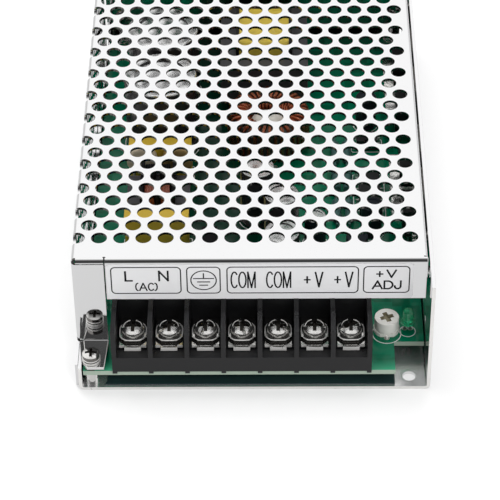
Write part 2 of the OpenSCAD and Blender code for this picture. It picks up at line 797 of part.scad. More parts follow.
// Holes that run round the left bend, as a flat hole does when the sheet is folded
module bend_holes() {
    for (r = [0:row_count - 1]) {
        u = row_shift(r);
        if (u == 0) intersection() {
            translate([hole_x0, row_y(r), case_h - cover_ro]) cylinder(d = hole_d, h = 2 * cover_ro);
            box([x_left - eps, y_front, 0], [x_right, y_rear, case_h + eps]);
        }
        translate([x_left - eps, row_y(r), unfolded_z(u)]) rotate([0, 90, 0])
            cylinder(d = hole_d, h = cover_ro + eps);
    }
}

module cover_top() along_z(cover_under, case_h) difference() {
    rect(x_left + cover_ro, cover_front + cover_ro, cover_right - cover_ro, y_rear - cover_ro);
    top_holes();
    for (x = [tab_right + tab_slit / 2, lip_right])
        translate([x, cover_front + cover_ro]) circle(d = relief_d);
}

module cover_left_wall() along_x(x_left, x_left + cover_t) difference() {
    union() {
        rect(cover_front + cover_ro, cover_gap, y_rear, case_h - cover_ro);
        rect(y_front + ear_setback, cover_gap, cover_front + 2 * cover_ro, ear_h);
    }
    left_wall_holes();
}

module cover_left_side() difference() {
    union() {
        cover_left_wall();
        along_y(cover_front + cover_ro, y_rear) translate([x_left + cover_ro, case_h - cover_ro])
            bend_section(cover_t, 90);
    }
    bend_holes();
    at_low_screws() flush_hole();
}

module front_bend(from, to) {
    along_x(from, to) translate([cover_front + cover_ro, case_h - cover_ro]) bend_section(cover_t, 90);
}

module cover_lip() {
    front_bend(x_left + cover_ro, tab_right);
    front_bend(lip_left, lip_right);
    along_x(lip_left, lip_right) rect(cover_front, case_h - lip_h, cover_front + cover_t, case_h - cover_ro);
}

module cover_side_flange() difference() {
    along_y(cover_front + cover_ro + relief_d / 2, y_rear - cover_ro) {
        rect(cover_right - cover_t, case_h - side_flange_h, cover_right, case_h - cover_ro);
        translate([cover_right - cover_ro, case_h - cover_ro]) bend_section(cover_t, 0);
    }
    at_wall_screws() flush_hole();
}

module cover_rear_wall() {
    along_x(x_left + cover_ro, cover_right - cover_ro)
        translate([y_rear - cover_ro, case_h - cover_ro]) bend_section(cover_t, 0);
    along_x(x_left + cover_t + cover_gap, cover_right - cover_gap)
        rect(y_rear - cover_t, chassis_ro + slip, y_rear, case_h - cover_ro);
}

module foot_outline() difference() {
    polygon([
        [foot_left, cover_front - bend_r],
        [foot_left + foot_taper / 2, foot_end + foot_chamfer],
        [foot_left + foot_taper / 2 + foot_chamfer, foot_end],
        [tab_right - foot_taper, foot_end],
        [tab_right, cover_front - bend_r]
    ]);
    translate([ground_x, ground_y]) circle(d = screw_d + 2 * screw_gap);
}

module ground_tab() {
    along_z(tab_low, tab_top) translate([x_left + cover_ro, cover_front + cover_ro])
        bend_section(cover_t, 180);
    along_y(cover_front, cover_front + cover_t) {
        rect(x_left + cover_ro, tab_low, tab_right, tab_top);
        rect(foot_left, foot_top + bend_r, tab_right, tab_top);
    }
    along_x(foot_left, tab_right) translate([cover_front - bend_r, foot_top + bend_r])
        bend_section(cover_t, 270);
    along_z(foot_under, foot_top) foot_outline();
}

module cover() color("gainsboro") {
    cover_top();
    cover_left_side();
    cover_lip();
    cover_side_flange();
    cover_rear_wall();
    ground_tab();
}

module terminal_label() color("whitesmoke") {
    w = lip_right - label_inset - lip_left - cover_gap;
    mid_z = case_h - lip_h / 2 - cover_ro / 2;
    along_y(cover_front - label_t, cover_front)
        translate([lip_left + cover_gap + w / 2, mid_z]) rounded_rect(w, label_h, label_r);
}

module insulation_sheet() color([0.1, 0.13, 0.13]) along_z(chassis_t, chassis_t + insulation_t) difference() {
    rect(board_left + bend_r, y_front + 1, notch_left, board_rear);
    for (p = standoff_places) translate(p) circle(d = standoff_d + sheet_relief);
    for (sx = [-1, 1], sy = [-1, 1]) translate([sx * fixing_span_x / 2, sy * fixing_span_y / 2])
        circle(d = fixing_d + 3);
}

module circuit_board() color("green") along_z(board_under, board_top) difference() {
    rect(board_left, board_front, board_right, board_rear);
    rect(notch_left, board_front - eps, board_right + eps, y_front + notch_d);
    for (p = standoff_places) translate(p) circle(d = screw_d + 2 * screw_gap);
    for (p = round_leads) translate(p) circle(d = lead_d + 2 * lead_gap);
    for (p = contact_pins) translate(p) circle(d = contact_pin_d + 2 * lead_gap);
    for (p = ring_leads) translate(p) circle(d = wire_d + 2 * lead_gap);
}

module standoffs() color("lightgray") for (p = standoff_places) translate([p[0], p[1], chassis_t])
    difference() {
        cylinder(d = standoff_d, h = standoff_h);
        translate([0, 0, 0.6]) cylinder(d = screw_d + 2 * screw_gap, h = standoff_h);
    }

module pan_screw(l) {
    domed_head(pan_d, pan_h, 0.8);
    translate([0, 0, -l]) cylinder(d = screw_d, h = l + tiny);
}

module board_screws() color("silver") for (i = [1:len(standoff_places) - 1])
    translate([standoff_places[i][0], standoff_places[i][1], board_top]) pan_screw(board_screw_l);

module ground_screw() color("silver") translate([ground_x, ground_y, foot_top + washer_t + spring_washer_t])
    pan_screw(ground_screw_l);

module washer(d, t) {
    linear_extrude(t) difference() {
        circle(d = d);
        circle(d = screw_d + 2 * screw_gap);
    }
}

module ground_washers() color("lightgray") translate([ground_x, ground_y, board_top]) {
    washer(washer_d, spacer_t);
    translate([0, 0, spacer_t + cover_t]) washer(washer_d, washer_t);
    translate([0, 0, spacer_t + cover_t + washer_t]) difference() {
        washer(pan_d, spring_washer_t);
        rotate(-60) translate([0, -0.2, -eps]) cube([pan_d, 0.4, spring_washer_t + 2 * eps]);
    }
}

module cover_screws() color("silver") {
    at_wall_screws() flush_screw();
    at_low_screws() flush_screw();
}

// Terminal strip

module terminal_block() color([0.12, 0.12, 0.12]) difference() {
    union() {
        box([block_left, block_front, board_top],
            [block_left + block_w, block_front + block_d, board_top + block_h]);
        for (i = [0:poles]) translate([block_left + i * pole_pitch, 0, 0])
            box([0, block_front, board_top - block_foot_drop],
                [divider_t, board_front - eps, board_top + eps]);
    }
    for (i = [0:poles - 1]) {
        x0 = pole_x(i) - cell_w / 2;
        x1 = pole_x(i) + cell_w / 2;
        box([x0, block_front - eps, sill_top], [x1, block_front + sill_d + eps, board_top + block_h + eps]);
        box([x0, block_front + sill_d, floor_top],
            [x1, block_front + block_d - block_back_t, board_top + block_h + eps]);
        translate([pole_x(i), clamp_center_y, board_top + 1]) cylinder(d = screw_well_d, h = block_h);
        translate([pole_x(i), contact_pin_y, board_top - eps])
            cylinder(d = contact_pin_d + 2 * lead_gap, h = sill_h + floor_rise + 2 * eps);
    }
}

module contact_plates() color("lightgray") for (i = [0:poles - 1]) {
    difference() {
        union() {
            box([pole_x(i) - contact_w / 2, contact_front, floor_top],
                [pole_x(i) + contact_w / 2, contact_rear, contact_top]);
            box([pole_x(i) - tongue_w / 2, contact_front - contact_t, sill_top + lead_gap],
                [pole_x(i) + tongue_w / 2, contact_front, contact_top]);
        }
        translate([pole_x(i), clamp_center_y, floor_top - eps])
            cylinder(d = clamp_screw_d + 2 * clamp_gap, h = contact_t + 2 * eps);
    }
    translate([pole_x(i), contact_pin_y, board_under - lead_tail])
        cylinder(d = contact_pin_d, h = floor_top + tiny - board_under + lead_tail);
}

module terminal_screw(i) color("silver") translate([pole_x(i), clamp_center_y, clamp_head_z]) {
    difference() {
        domed_head(clamp_head_d, clamp_head_h, 1);
        rotate(35 * i) translate([-clamp_head_d, -0.45, clamp_head_h - 0.8]) cube([2 * clamp_head_d, 0.9, 2]);
    }
    translate([0, 0, -clamp_screw_l]) cylinder(d = clamp_screw_d, h = clamp_screw_l + tiny);
}

module clamp_washer(i) color("lightgray") translate([pole_x(i), clamp_center_y, contact_top])
    linear_extrude(clamp_t) difference() {
        polygon([
            [clamp_cut - clamp_w / 2, -clamp_w / 2],
            [clamp_w / 2 - clamp_cut, -clamp_w / 2],
            [clamp_w / 2, clamp_cut - clamp_w / 2],
            [clamp_w / 2, clamp_w / 2 - clamp_cut],
            [clamp_w / 2 - clamp_cut, clamp_w / 2],
            [clamp_cut - clamp_w / 2, clamp_w / 2],
            [-clamp_w / 2, clamp_w / 2 - clamp_cut],
            [-clamp_w / 2, clamp_cut - clamp_w / 2]
        ]);
        circle(d = clamp_screw_d + 2 * screw_gap);
    }

// Trimmer and lamp

module trimmer_body() color("ivory") {
    translate([x_right - trimmer_x, y_front + trimmer_y, board_top]) {
        linear_extrude(trimmer_base_h) intersection() {
            circle(d = trimmer_d + 0.4);
            rect(-trimmer_d, -trimmer_flat, trimmer_d, trimmer_d);
        }
        cylinder(d = pivot_d, h = pivot_h);
    }
    leads(trimmer_leads, board_top + trimmer_base_h / 2);
}

module trimmer_rotor() color("ivory") translate([x_right - trimmer_x, y_front + trimmer_y, board_top]) {
    low = trimmer_base_h + rotor_gap;
    difference() {
        translate([0, 0, low]) cylinder(d = trimmer_d, h = trimmer_h - low);
        cylinder(d = pivot_d + 2 * pivot_gap, h = pivot_h + rotor_gap);
        for (turn = [0, 90]) rotate(20 + turn) translate([0, 0, trimmer_h])
            cube([rotor_slot_l, rotor_slot_w, 2 * rotor_slot_h], center = true);
    }
}

module lamp_lens() color([0.1, 0.6, 0.3])
    translate([x_right - lamp_x, y_front + lamp_y, board_top + lamp_stand]) rotate_extrude() {
        square([lamp_rim_d / 2, 0.9]);
        square([lamp_d / 2, lamp_h - lamp_d / 2]);
        translate([0, lamp_h - lamp_d / 2]) intersection() {
            circle(lamp_d / 2);
            square(lamp_d);
        }
    }

module lamp_leads() color("silver") for (p = lamp_leads) translate([p[0], p[1], board_under - lead_tail])
    linear_extrude(board_top + lamp_stand - board_under + lead_tail) square(0.5, center = true);

// Input filter

module fuse_tube() color([0.8, 0.85, 0.85]) translate([fuse_mid_x, fuse_mid_y, board_top + fuse_z])
    rotate([90, 0, 0]) difference() {
        cylinder(d = fuse_d, h = fuse_l - 2 * fuse_cap_t, center = true);
        cylinder(d = fuse_d - 1.2, h = fuse_l, center = true);
    }

module fuse_caps() color("silver") for (s = [-1, 1])
    translate([fuse_mid_x, fuse_mid_y + s * fuse_l / 2, board_top + fuse_z]) rotate([90 * s, 0, 0])
        difference() {
            cylinder(d = fuse_d + 2 * fuse_cap_t, h = fuse_cap_l);
            translate([0, 0, fuse_cap_t]) cylinder(d = fuse_d, h = fuse_cap_l);
        }

module fuse_clips() color("lightgray") {
    r = fuse_d / 2 + fuse_cap_t;
    for (s = [-1, 1]) {
        y = fuse_mid_y + s * (fuse_l - fuse_cap_l) / 2;
        along_y(y - fuse_clip_w / 2, y + fuse_clip_w / 2)
            translate([fuse_mid_x, board_top + fuse_z]) difference() {
                union() {
                    circle(r + fuse_clip_t);
                    rect(-r / 2, -fuse_z, r / 2, -r);
                }
                circle(r);
                rect(-2 * r, r * 0.6, 2 * r, 2 * r);
            }
    }
    leads(clip_leads, board_top + tiny);
}

module surge_part(i) {
    disc_at(surge_mids[i], surge_y, surge_d, surge_t, surge_stand);
    leads(pair(surge_mids[i], surge_y, lead_pitch), board_top + surge_stand + surge_d / 2 - lead_pitch / 2);
}

module varistor() color([0.12, 0.3, 0.6]) surge_part(1);

module thermistor() color([0.14, 0.16, 0.14]) surge_part(0);

module safety_capacitors() color([0.78, 0.66, 0.45]) for (x = disc_mids) {
    disc_at(x, disc_mid, disc_d, disc_t, disc_stand);
    leads(pair(x, disc_mid, lead_pitch), board_top + disc_stand + disc_d / 2 - lead_pitch / 2);
}

module line_capacitors() color([0.85, 0.7, 0.15]) {
    for (y = line_cap_mids) translate([input_mid, y, board_top])
        linear_extrude(line_cap_h) rounded_rect(line_cap_w, line_cap_d, 0.5);
    leads(line_cap_leads, board_top + tiny);
}

module line_choke_core() color([0.15, 0.15, 0.16]) along_z(choke_mid_z - choke_core_t / 2,
    choke_mid_z + choke_core_t / 2) translate([input_mid, choke_mid_y]) difference() {
        square([choke_w, choke_leg_span + choke_core_t], center = true);
        square([choke_w - 2 * choke_core_t, choke_leg_span - choke_core_t], center = true);
    }

// Flanges and tube of one bobbin, around a leg that runs along X
module choke_bobbin(y) {
    stations = [-choke_half, -choke_flange_t / 2, choke_half - choke_flange_t];
    hole = choke_core_t + 2 * wire_gap;
    for (x = stations) along_x(input_mid + x, input_mid + x + choke_flange_t)
        translate([y, choke_mid_z]) difference() {
            square([choke_flange_w, choke_h], center = true);
            square(hole, center = true);
        }
    along_x(input_mid - choke_half + tiny, input_mid + choke_half - tiny) translate([y, choke_mid_z])
        difference() {
            square(hole + 0.8, center = true);
            square(hole, center = true);
        }
}

module line_choke_bobbins() color([0.1, 0.1, 0.1]) {
    for (y = choke_legs) choke_bobbin(y);
    leads(choke_leads, board_top + tiny);
}

module line_choke_windings() color([0.45, 0.16, 0.1]) {
    coil = choke_half - 1.5 * choke_flange_t - 2 * wire_gap;
    bore = choke_core_t + 2 * wire_gap + 0.8 + 2 * wire_gap;
    for (y = choke_legs, x = [-choke_half + choke_flange_t + wire_gap, choke_flange_t / 2 + wire_gap])
        along_x(input_mid + x, input_mid + x + coil) translate([y, choke_mid_z]) difference() {
            rounded_rect(choke_coil_w, choke_coil_h, 1.4);
            square(bore, center = true);
        }
}

// Power stage

module bridge_rectifier() color([0.12, 0.12, 0.12]) {
    low = board_top + 2;
    along_x(bridge_x - bridge_t / 2, bridge_x + bridge_t / 2) difference() {
        rect(bridge_mid_y - bridge_l / 2, low, bridge_mid_y + bridge_l / 2, low + bridge_h);
        translate([bridge_mid_y + bridge_l / 2, low + bridge_h]) circle(bridge_cut, $fn = 4);
        translate([bridge_mid_y, low + bridge_h * 0.68]) circle(d = 3.6);
    }
    leads(bridge_leads, low + tiny);
}

module bulk_capacitors() color([0.1, 0.1, 0.12]) for (y = bulk_mids)
    can_at([input_mid, y], bulk_d, bulk_h, wide_lead_pitch);

module transformer_core() color([0.2, 0.2, 0.21]) along_z(core_mid_z - core_h / 2, core_mid_z + core_h / 2)
    translate([core_mid_x, core_mid_y]) {
        difference() {
            square([core_l, core_w], center = true);
            square([core_l - 2 * core_leg, core_w - 2 * core_leg], center = true);
        }
        square([core_l - 2 * core_leg + 2 * tiny, center_leg], center = true);
    }

module transformer_bobbin() color([0.13, 0.13, 0.13]) {
    half = core_l / 2 - core_leg - wire_gap;
    hole_w = center_leg + 2 * wire_gap;
    hole_h = core_h + 2 * wire_gap;
    for (x = [-half, half - bobbin_t]) along_x(core_mid_x + x, core_mid_x + x + bobbin_t)
        translate([core_mid_y, core_mid_z]) difference() {
            square([winding_w + 0.8, winding_h + 1.6], center = true);
            square([hole_w, hole_h], center = true);
        }
    along_x(core_mid_x - half + tiny, core_mid_x + half - tiny) translate([core_mid_y, core_mid_z])
        difference() {
            square([hole_w + 2 * bobbin_t, hole_h + 2 * bobbin_t], center = true);
            square([hole_w, hole_h], center = true);
        }
    for (s = [-1, 1]) translate([core_mid_x + s * (half + 1.6), core_mid_y, board_top + rail_h / 2 - 0.1])
        cube([3.4 + bobbin_t, winding_w + 0.8, rail_h - 0.2], center = true);
    leads(core_leads, board_top + tiny);
}

module transformer_winding() color([0.87, 0.74, 0.2]) {
    half = core_l / 2 - core_leg - 2 * wire_gap - bobbin_t;
    along_x(core_mid_x - half, core_mid_x + half) translate([core_mid_y, core_mid_z]) difference() {
        rounded_rect(winding_w, winding_h, 2.4);
        square([center_leg + 4 * wire_gap + 2 * bobbin_t, core_h + 4 * wire_gap + 2 * bobbin_t],
               center = true);
    }
}

module device_pair(mid) {
    for (s = [-1, 1]) device_at(mid + s * device_span / 2);
}

module output_rectifiers() color([0.12, 0.12, 0.12]) device_pair(rectifier_mid);

module power_transistors() color([0.12, 0.12, 0.12]) device_pair(transistor_mid);

module insulating_pads() color([0.75, 0.72, 0.66]) for (mid = device_mids, s = [-1, 1])
    along_x(device_back, wall_inner) translate([mid + s * device_span / 2, 0]) difference() {
        rect(-device_w / 2 - 1, device_low - 1, device_w / 2 + 1, device_low + device_h + device_tab_h + 1);
        translate([0, device_low + device_h + device_tab_h / 2]) circle(d = device_hole_d);
    }

module clamp_bars() color("silver") for (mid = device_mids) difference() {
    along_x(clamp_bar_x - clamp_bar_t, clamp_bar_x) translate([mid, clamp_bar_z])
        rounded_rect(clamp_bar_l, clamp_bar_h, 0.8);
    translate([clamp_bar_x, mid, clamp_bar_z]) rotate([0, 90, 0])
        cylinder(d = screw_d + 2 * screw_gap, h = 3 * clamp_bar_t, center = true);
}

module clamp_screws() color("silver") {
    l = x_right - clamp_bar_x + clamp_bar_t - 0.4;
    at_clamp_screws() {
        flush_screw();
        translate([0, 0, -l]) cylinder(d = screw_d, h = l - flush_screw_l + tiny);
    }
}

// Output filter

module ring_choke_core() color([0.85, 0.8, 0.62]) translate([ring_mid_x, ring_mid_y, ring_low + ring_h / 2])
    rotate_extrude() translate([(ring_d + ring_bore) / 4, 0])
        rounded_rect((ring_d - ring_bore) / 2, ring_h, 0.6);

// One turn of wire round the ring's section
module ring_turn() {
    w = (ring_d - ring_bore) / 2 + 2 * wire_gap;
    h = ring_h + 2 * tiny;
    rotate([90, 0, 0]) linear_extrude(wire_d, center = true) difference() {
        rounded_rect(w + 2 * wire_d, h + 2 * wire_d, wire_d);
        square([w, h], center = true);
    }
}

module ring_choke_winding() color([0.72, 0.36, 0.18]) {
    for (k = [0:ring_turns - 1]) translate([ring_mid_x, ring_mid_y, ring_low + ring_h / 2])
        rotate(360 * (k + 0.5) / ring_turns) translate([(ring_d + ring_bore) / 4, 0, 0]) ring_turn();
    for (p = ring_leads) translate([p[0], p[1], board_under - lead_tail])
        cylinder(d = wire_d, h = board_t + lead_tail - tiny);
}

module ring_choke_sealant() color([0.93, 0.91, 0.84]) translate([ring_mid_x, ring_mid_y, board_top])
    rotate_extrude() {
        square([seal_r, seal_h]);
        translate([0, seal_h]) intersection() {
            translate([0, -seal_r]) circle(seal_r * 1.4);
            square([seal_r, seal_r]);
        }
    }

module output_capacitors() color([0.16, 0.14, 0.12]) for (p = output_caps)
    can_at(p, output_cap_d, output_cap_h, lead_pitch);

// Control

module control_chip() color([0.1, 0.1, 0.1]) chip_at(chip_x, chip_y, chip_l, 8);

module optocoupler() color([0.1, 0.1, 0.1]) chip_at(chip_x, opto_y, opto_l, 2);

module small_capacitors() color([0.16, 0.2, 0.3]) for (p = small_caps)
    can_at(p, small_cap_d, small_cap_h, small_lead_pitch);

module resistors() color([0.72, 0.62, 0.48]) for (p = resistors) {
    translate([p[0], p[1], board_top + resistor_z]) rotate([90, 0, 0]) {
        cylinder(d = resistor_d * 0.86, h = resistor_l, center = true);
        for (s = [-1, 1]) translate([0, 0, s * (resistor_l / 2 - 0.9)])
            cylinder(d = resistor_d, h = 1.8, center = true);
        cylinder(d = lead_d * 0.8, h = resistor_l + resistor_reach, center = true);
    }
    leads(fore_aft(p[0], p[1], resistor_l + resistor_reach), board_top + resistor_z + lead_d * 0.4);
}

chassis();
cover();
terminal_label();
insulation_sheet();
circuit_board();
standoffs();
board_screws();
ground_screw();
ground_washers();
cover_screws();
terminal_block();
contact_plates();
terminal_screw(0);  // terminal_screw_1
terminal_screw(1);  // terminal_screw_2
terminal_screw(2);  // terminal_screw_3
terminal_screw(3);  // terminal_screw_4
terminal_screw(4);  // terminal_screw_5
terminal_screw(5);  // terminal_screw_6
terminal_screw(6);  // terminal_screw_7
clamp_washer(0);  // clamp_washer_1
clamp_washer(1);  // clamp_washer_2
clamp_washer(2);  // clamp_washer_3
clamp_washer(3);  // clamp_washer_4
clamp_washer(4);  // clamp_washer_5
clamp_washer(5);  // clamp_washer_6
clamp_washer(6);  // clamp_washer_7
trimmer_body();
trimmer_rotor();
lamp_lens();
lamp_leads();
fuse_tube();
fuse_caps();
fuse_clips();
varistor();
thermistor();
safety_capacitors();
line_capacitors();
line_choke_core();
line_choke_bobbins();
line_choke_windings();
bridge_rectifier();
bulk_capacitors();
transformer_core();
transformer_bobbin();
transformer_winding();
ring_choke_core();
ring_choke_winding();
ring_choke_sealant();
output_capacitors();
output_rectifiers();
power_transistors();
insulating_pads();
clamp_bars();
clamp_screws();
control_chip();
optocoupler();
small_capacitors();
resistors();
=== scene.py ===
"""Looks of the enclosed power supply: finishes, wires, printing and the studio stage."""

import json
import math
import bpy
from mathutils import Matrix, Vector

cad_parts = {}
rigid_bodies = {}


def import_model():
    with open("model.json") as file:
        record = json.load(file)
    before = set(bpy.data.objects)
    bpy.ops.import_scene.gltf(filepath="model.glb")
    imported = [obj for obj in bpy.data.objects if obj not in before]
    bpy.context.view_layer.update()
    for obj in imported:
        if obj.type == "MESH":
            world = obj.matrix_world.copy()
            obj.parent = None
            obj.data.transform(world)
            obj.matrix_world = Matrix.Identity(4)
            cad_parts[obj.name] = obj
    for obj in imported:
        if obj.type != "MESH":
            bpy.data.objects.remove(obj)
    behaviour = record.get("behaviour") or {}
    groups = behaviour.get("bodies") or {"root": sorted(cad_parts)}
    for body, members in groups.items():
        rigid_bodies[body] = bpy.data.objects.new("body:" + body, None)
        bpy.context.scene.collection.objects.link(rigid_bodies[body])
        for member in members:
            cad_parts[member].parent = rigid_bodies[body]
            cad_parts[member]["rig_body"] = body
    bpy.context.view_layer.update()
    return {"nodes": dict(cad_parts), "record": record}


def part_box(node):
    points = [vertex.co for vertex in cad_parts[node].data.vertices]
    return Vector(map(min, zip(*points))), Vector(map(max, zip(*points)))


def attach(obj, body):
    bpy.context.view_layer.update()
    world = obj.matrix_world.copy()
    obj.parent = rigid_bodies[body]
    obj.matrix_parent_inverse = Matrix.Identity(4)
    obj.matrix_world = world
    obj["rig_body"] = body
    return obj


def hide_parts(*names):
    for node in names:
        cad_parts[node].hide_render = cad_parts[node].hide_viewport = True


bl_info = {
    "name": "Enclosed power supply",
    "version": (1, 0, 0),
    "blender": (4, 5, 0),
    "location": "3D View > Sidebar > Power supply",
    "description": "Dresses the packed power supply and sets its stage",
    "category": "Object",
}

import bmesh
import bpy
import numpy as np
from bpy.props import FloatProperty, FloatVectorProperty, PointerProperty
from mathutils import Matrix, Vector

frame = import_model()

MM = 0.001
# Points that lie closer than this are one point, in metres
WELD = 2e-6
PREFIX = "supply"
CASE = "case"
X, Y, Z = 0, 1, 2
UP = np.array([0.0, 0.0, 1.0])
TO_FRONT = np.array([0.0, -1.0, 0.0])


def colour(thing, value):
    """The colour of a thing that a user may change, with its default."""
    return FloatVectorProperty(
        name=thing.capitalize(), description=f"Colour of the {thing}", default=value, size=3,
        subtype="COLOR", min=0.0, max=1.0,
    )


def length(label, words, value):
    """A length that a user may change, with its default in millimetres."""
    return FloatProperty(name=label, description=words, default=value * MM, unit="LENGTH", precision=5)


def share(label, words, value):
    """A value from 0 to 1 that a user may change."""
    return FloatProperty(name=label, description=words, default=value, min=0.0, max=1.0, subtype="FACTOR")


def amount(label, words, value, least=0.0):
    """A value with a lower limit that a user may change."""
    return FloatProperty(name=label, description=words, default=value, min=least)


def angle(label, words, value):
    """An angle that a user may change, with its default in degrees."""
    return FloatProperty(name=label, description=words, default=math.radians(value), subtype="ANGLE")


class SupplyMetal(bpy.types.PropertyGroup):
    """Finishes of the sheets and the fasteners"""

    sheet: colour("bright plated sheet", (0.93, 0.93, 0.935))
    sheet_roughness: share("Sheet roughness", "How blurred the sheet's reflections are", 0.05)
    plate: colour("plated screws and washers", (0.82, 0.81, 0.79))
    plate_roughness: share("Plating roughness", "How blurred the screws' reflections are", 0.11)
    copper: colour("enamelled copper wire", (0.5, 0.15, 0.07))
    dark_wire: colour("line choke's wire", (0.33, 0.09, 0.05))
    shaded: colour("plating on shaded sides", (0.22, 0.21, 0.2))
    # Painted shade: dark metal in the drives and on the ground washers' sides
    recess: colour("bottoms of the drives", (0.05, 0.045, 0.04))
    edge: length("Edge", "Width of the rounded edges on screws and washers", 0.12)


class SupplyPlastic(bpy.types.PropertyGroup):
    """Finishes of the mouldings, coatings and sleeves"""

    black: colour("black mouldings", (0.009, 0.009, 0.01))
    cream: colour("trimmer", (0.9, 0.885, 0.84))
    # Painted shade: darker, browner cream in the hollow of the trimmer's rotor
    hollow: colour("hollow in the trimmer's rotor", (0.3, 0.27, 0.18))
    lamp: colour("lamp's resin", (0.03, 0.6, 0.25))
    yellow: colour("line capacitors", (0.8, 0.55, 0.06))
    tape: colour("transformer's tape", (0.82, 0.62, 0.08))
    tan: colour("left safety capacitor", (0.62, 0.53, 0.4))
    brown: colour("right safety capacitor", (0.36, 0.24, 0.1))
    blue: colour("varistor", (0.03, 0.13, 0.42))
    dark_green: colour("thermistor", (0.03, 0.05, 0.03))
    sleeve: colour("large capacitor sleeves", (0.03, 0.028, 0.03))
    stripe: colour("print on the sleeves", (0.5, 0.42, 0.2))
    small_sleeve: colour("small capacitor sleeves", (0.014, 0.018, 0.026))
    ring: colour("ring choke's coating", (0.05, 0.05, 0.042))
    seal: colour("sealant", (0.88, 0.86, 0.79))
    pad: colour("insulating pads", (0.6, 0.58, 0.52))
    body: colour("resistor bodies", (0.05, 0.13, 0.12))
    ferrite: colour("ferrite cores", (0.06, 0.06, 0.065))
    edge: length("Edge", "Width of the rounded edges on mouldings", 0.2)


class SupplyBoard(bpy.types.PropertyGroup):
    """Finishes of the circuit board and the printing"""

    mask: colour("solder mask", (0.0, 0.13, 0.062))
    trace: colour("mask over copper", (0.0, 0.18, 0.09))
    # Painted shade: darker mask over the middle area
    plane: colour("mask over the dark middle area", (0.0, 0.035, 0.018))
    # Painted light: paler mask along the front edge
    brim_light: colour("mask by the lit front edge", (0.05, 0.36, 0.2))
    rim: colour("board's cut edge", (0.36, 0.44, 0.36))
    silk: colour("board's printing", (0.85, 0.87, 0.85))
    film: colour("label strip", (0.76, 0.76, 0.77))
    ink: colour("label's printing", (0.008, 0.008, 0.009))
    sheet: colour("insulation sheet", (0.02, 0.04, 0.042))
    ink_height: length("Ink height", "How far the printing stands up", 0.02)
    line: length("Line", "Width of the lines printed on the board", 0.26)
    label_line: length("Label line", "Width of the lines printed on the label strip", 0.33)


class SupplyStage(bpy.types.PropertyGroup):
    """Camera, lamps and floor"""

    place: FloatVectorProperty(
        name="Camera", description="Where the camera stands", default=(0.0051, -0.5249, 0.4518),
        subtype="TRANSLATION", unit="LENGTH", precision=4,
    )
    azimuth: angle("Azimuth", "Turn of the view about Z", -0.7)
    elevation: angle("Elevation", "Downward tilt of the view", 41.92)
    roll: angle("Roll", "Roll of the camera", 0.7)
    lens: amount("Lens", "Focal length on a 36 mm sensor", 164.6, 10.0)
    floor: colour("floor", (0.9, 0.9, 0.9))
    floor_glow: share("Floor glow", "Share of plain white that the floor shows", 0.4)
    floor_mirrored: share("Mirrored floor", "Grey that the floor shows in bright metal", 0.6)
    sky: amount("Sky", "Strength of the light from all round", 0.6)
    dark: share("Dark side", "Grey that bright metal mirrors from the camera's side", 0.05)
    dark_height: angle("Dark side height", "Elevation of the dark side's middle", 22)
    horizon: share("Horizon", "Grey that bright metal mirrors from low down", 0.6)
    overhead: amount("Overhead", "Power of the lamp overhead", 9.0)
    fill: amount("Fill", "Power of the lamp beside the camera", 3.0)


GROUPS = {
    "metal": SupplyMetal,
    "plastic": SupplyPlastic,
    "board": SupplyBoard,
    "stage": SupplyStage,
}


def looks(group):
    """The settings of one group, as the scene holds them."""
    return getattr(bpy.context.scene, f"{PREFIX}_{group}")


# Measures of the CAD nodes


def triangles(node):
    """A CAD node's corners and triangles with equal corners joined."""
    mesh = frame["nodes"][node].data
    points = np.empty(len(mesh.vertices) * 3)
    mesh.vertices.foreach_get("co", points)
    corners = np.empty(len(mesh.loops), np.int32)
    mesh.loops.foreach_get("vertex_index", corners)
    points = points.reshape(-1, 3)
    cells = np.round(points / WELD).astype(np.int64)
    _, first, same = np.unique(cells, axis=0, return_index=True, return_inverse=True)
    faces = same.reshape(-1)[corners].reshape(-1, 3)
    whole = (faces != np.roll(faces, 1, axis=1)).all(axis=1)
    return points[first], faces[whole]


def centres_and_normals(points, faces):
    """Middle and unit normal of each triangle."""
    corners = points[faces]
    normals = np.cross(corners[:, 1] - corners[:, 0], corners[:, 2] - corners[:, 0])
    return corners.mean(axis=1), normals / np.maximum(np.linalg.norm(normals, axis=1, keepdims=True), 1e-18)


def solid_boxes(node):
    """Lowest and highest corner of each separate solid of a CAD node, ordered along X, then Y."""
    points, faces = triangles(node)
    label = np.arange(len(points))
    while True:
        lower = label.copy()
        np.minimum.at(lower, faces, label[faces].min(axis=1)[:, None])
        lower = lower[lower]
        if (lower == label).all():
            break
        label = lower
    solids = [points[label == k] for k in np.unique(label[faces])]
    boxes = [(p.min(axis=0), p.max(axis=0)) for p in solids]
    return sorted(boxes, key=lambda b: (round(b[0][0], 4), round(b[0][1], 4)))


def box_of(node):
    """Lowest and highest corner of a CAD node, as arrays."""
    return [np.array(v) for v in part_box(node)]


def board_top():
    """Height of the circuit board's upper face."""
    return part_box("circuit_board")[1].z


def ties(node):
    """The body that carries a CAD node and the record's slot for it."""
    slot = next(s["material_slot"] for s in frame["record"]["subparts"] if s["node"] == node)
    return {"body": frame["nodes"][node]["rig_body"], "slot": slot}


# Pieces from CAD nodes and from arrays


def put(name, mesh, material, body=CASE, slot=None, stands_for=()):
    """Links a finished mesh at the origin, ties it to its body and hides the CAD nodes that it stands for.
    The slot is not used.
    """
    piece = bpy.data.objects.new(name, mesh)
    bpy.context.scene.collection.objects.link(piece)
    for one in material if isinstance(material, (list, tuple)) else [material]:
        mesh.materials.append(one)
    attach(piece, body)
    if stands_for:
        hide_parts(*stands_for)
    return piece


def shade_smooth(mesh, sharp):
    """Smooth shading with edges kept that bend by more than an angle in degrees."""
    mesh.polygons.foreach_set("use_smooth", np.ones(len(mesh.polygons), bool))
    mesh.set_sharp_from_angle(angle=math.radians(sharp))


# Neighbouring faces of a CAD node that bend by less than this are joined, in degrees
FLAT_BEND = 0.6


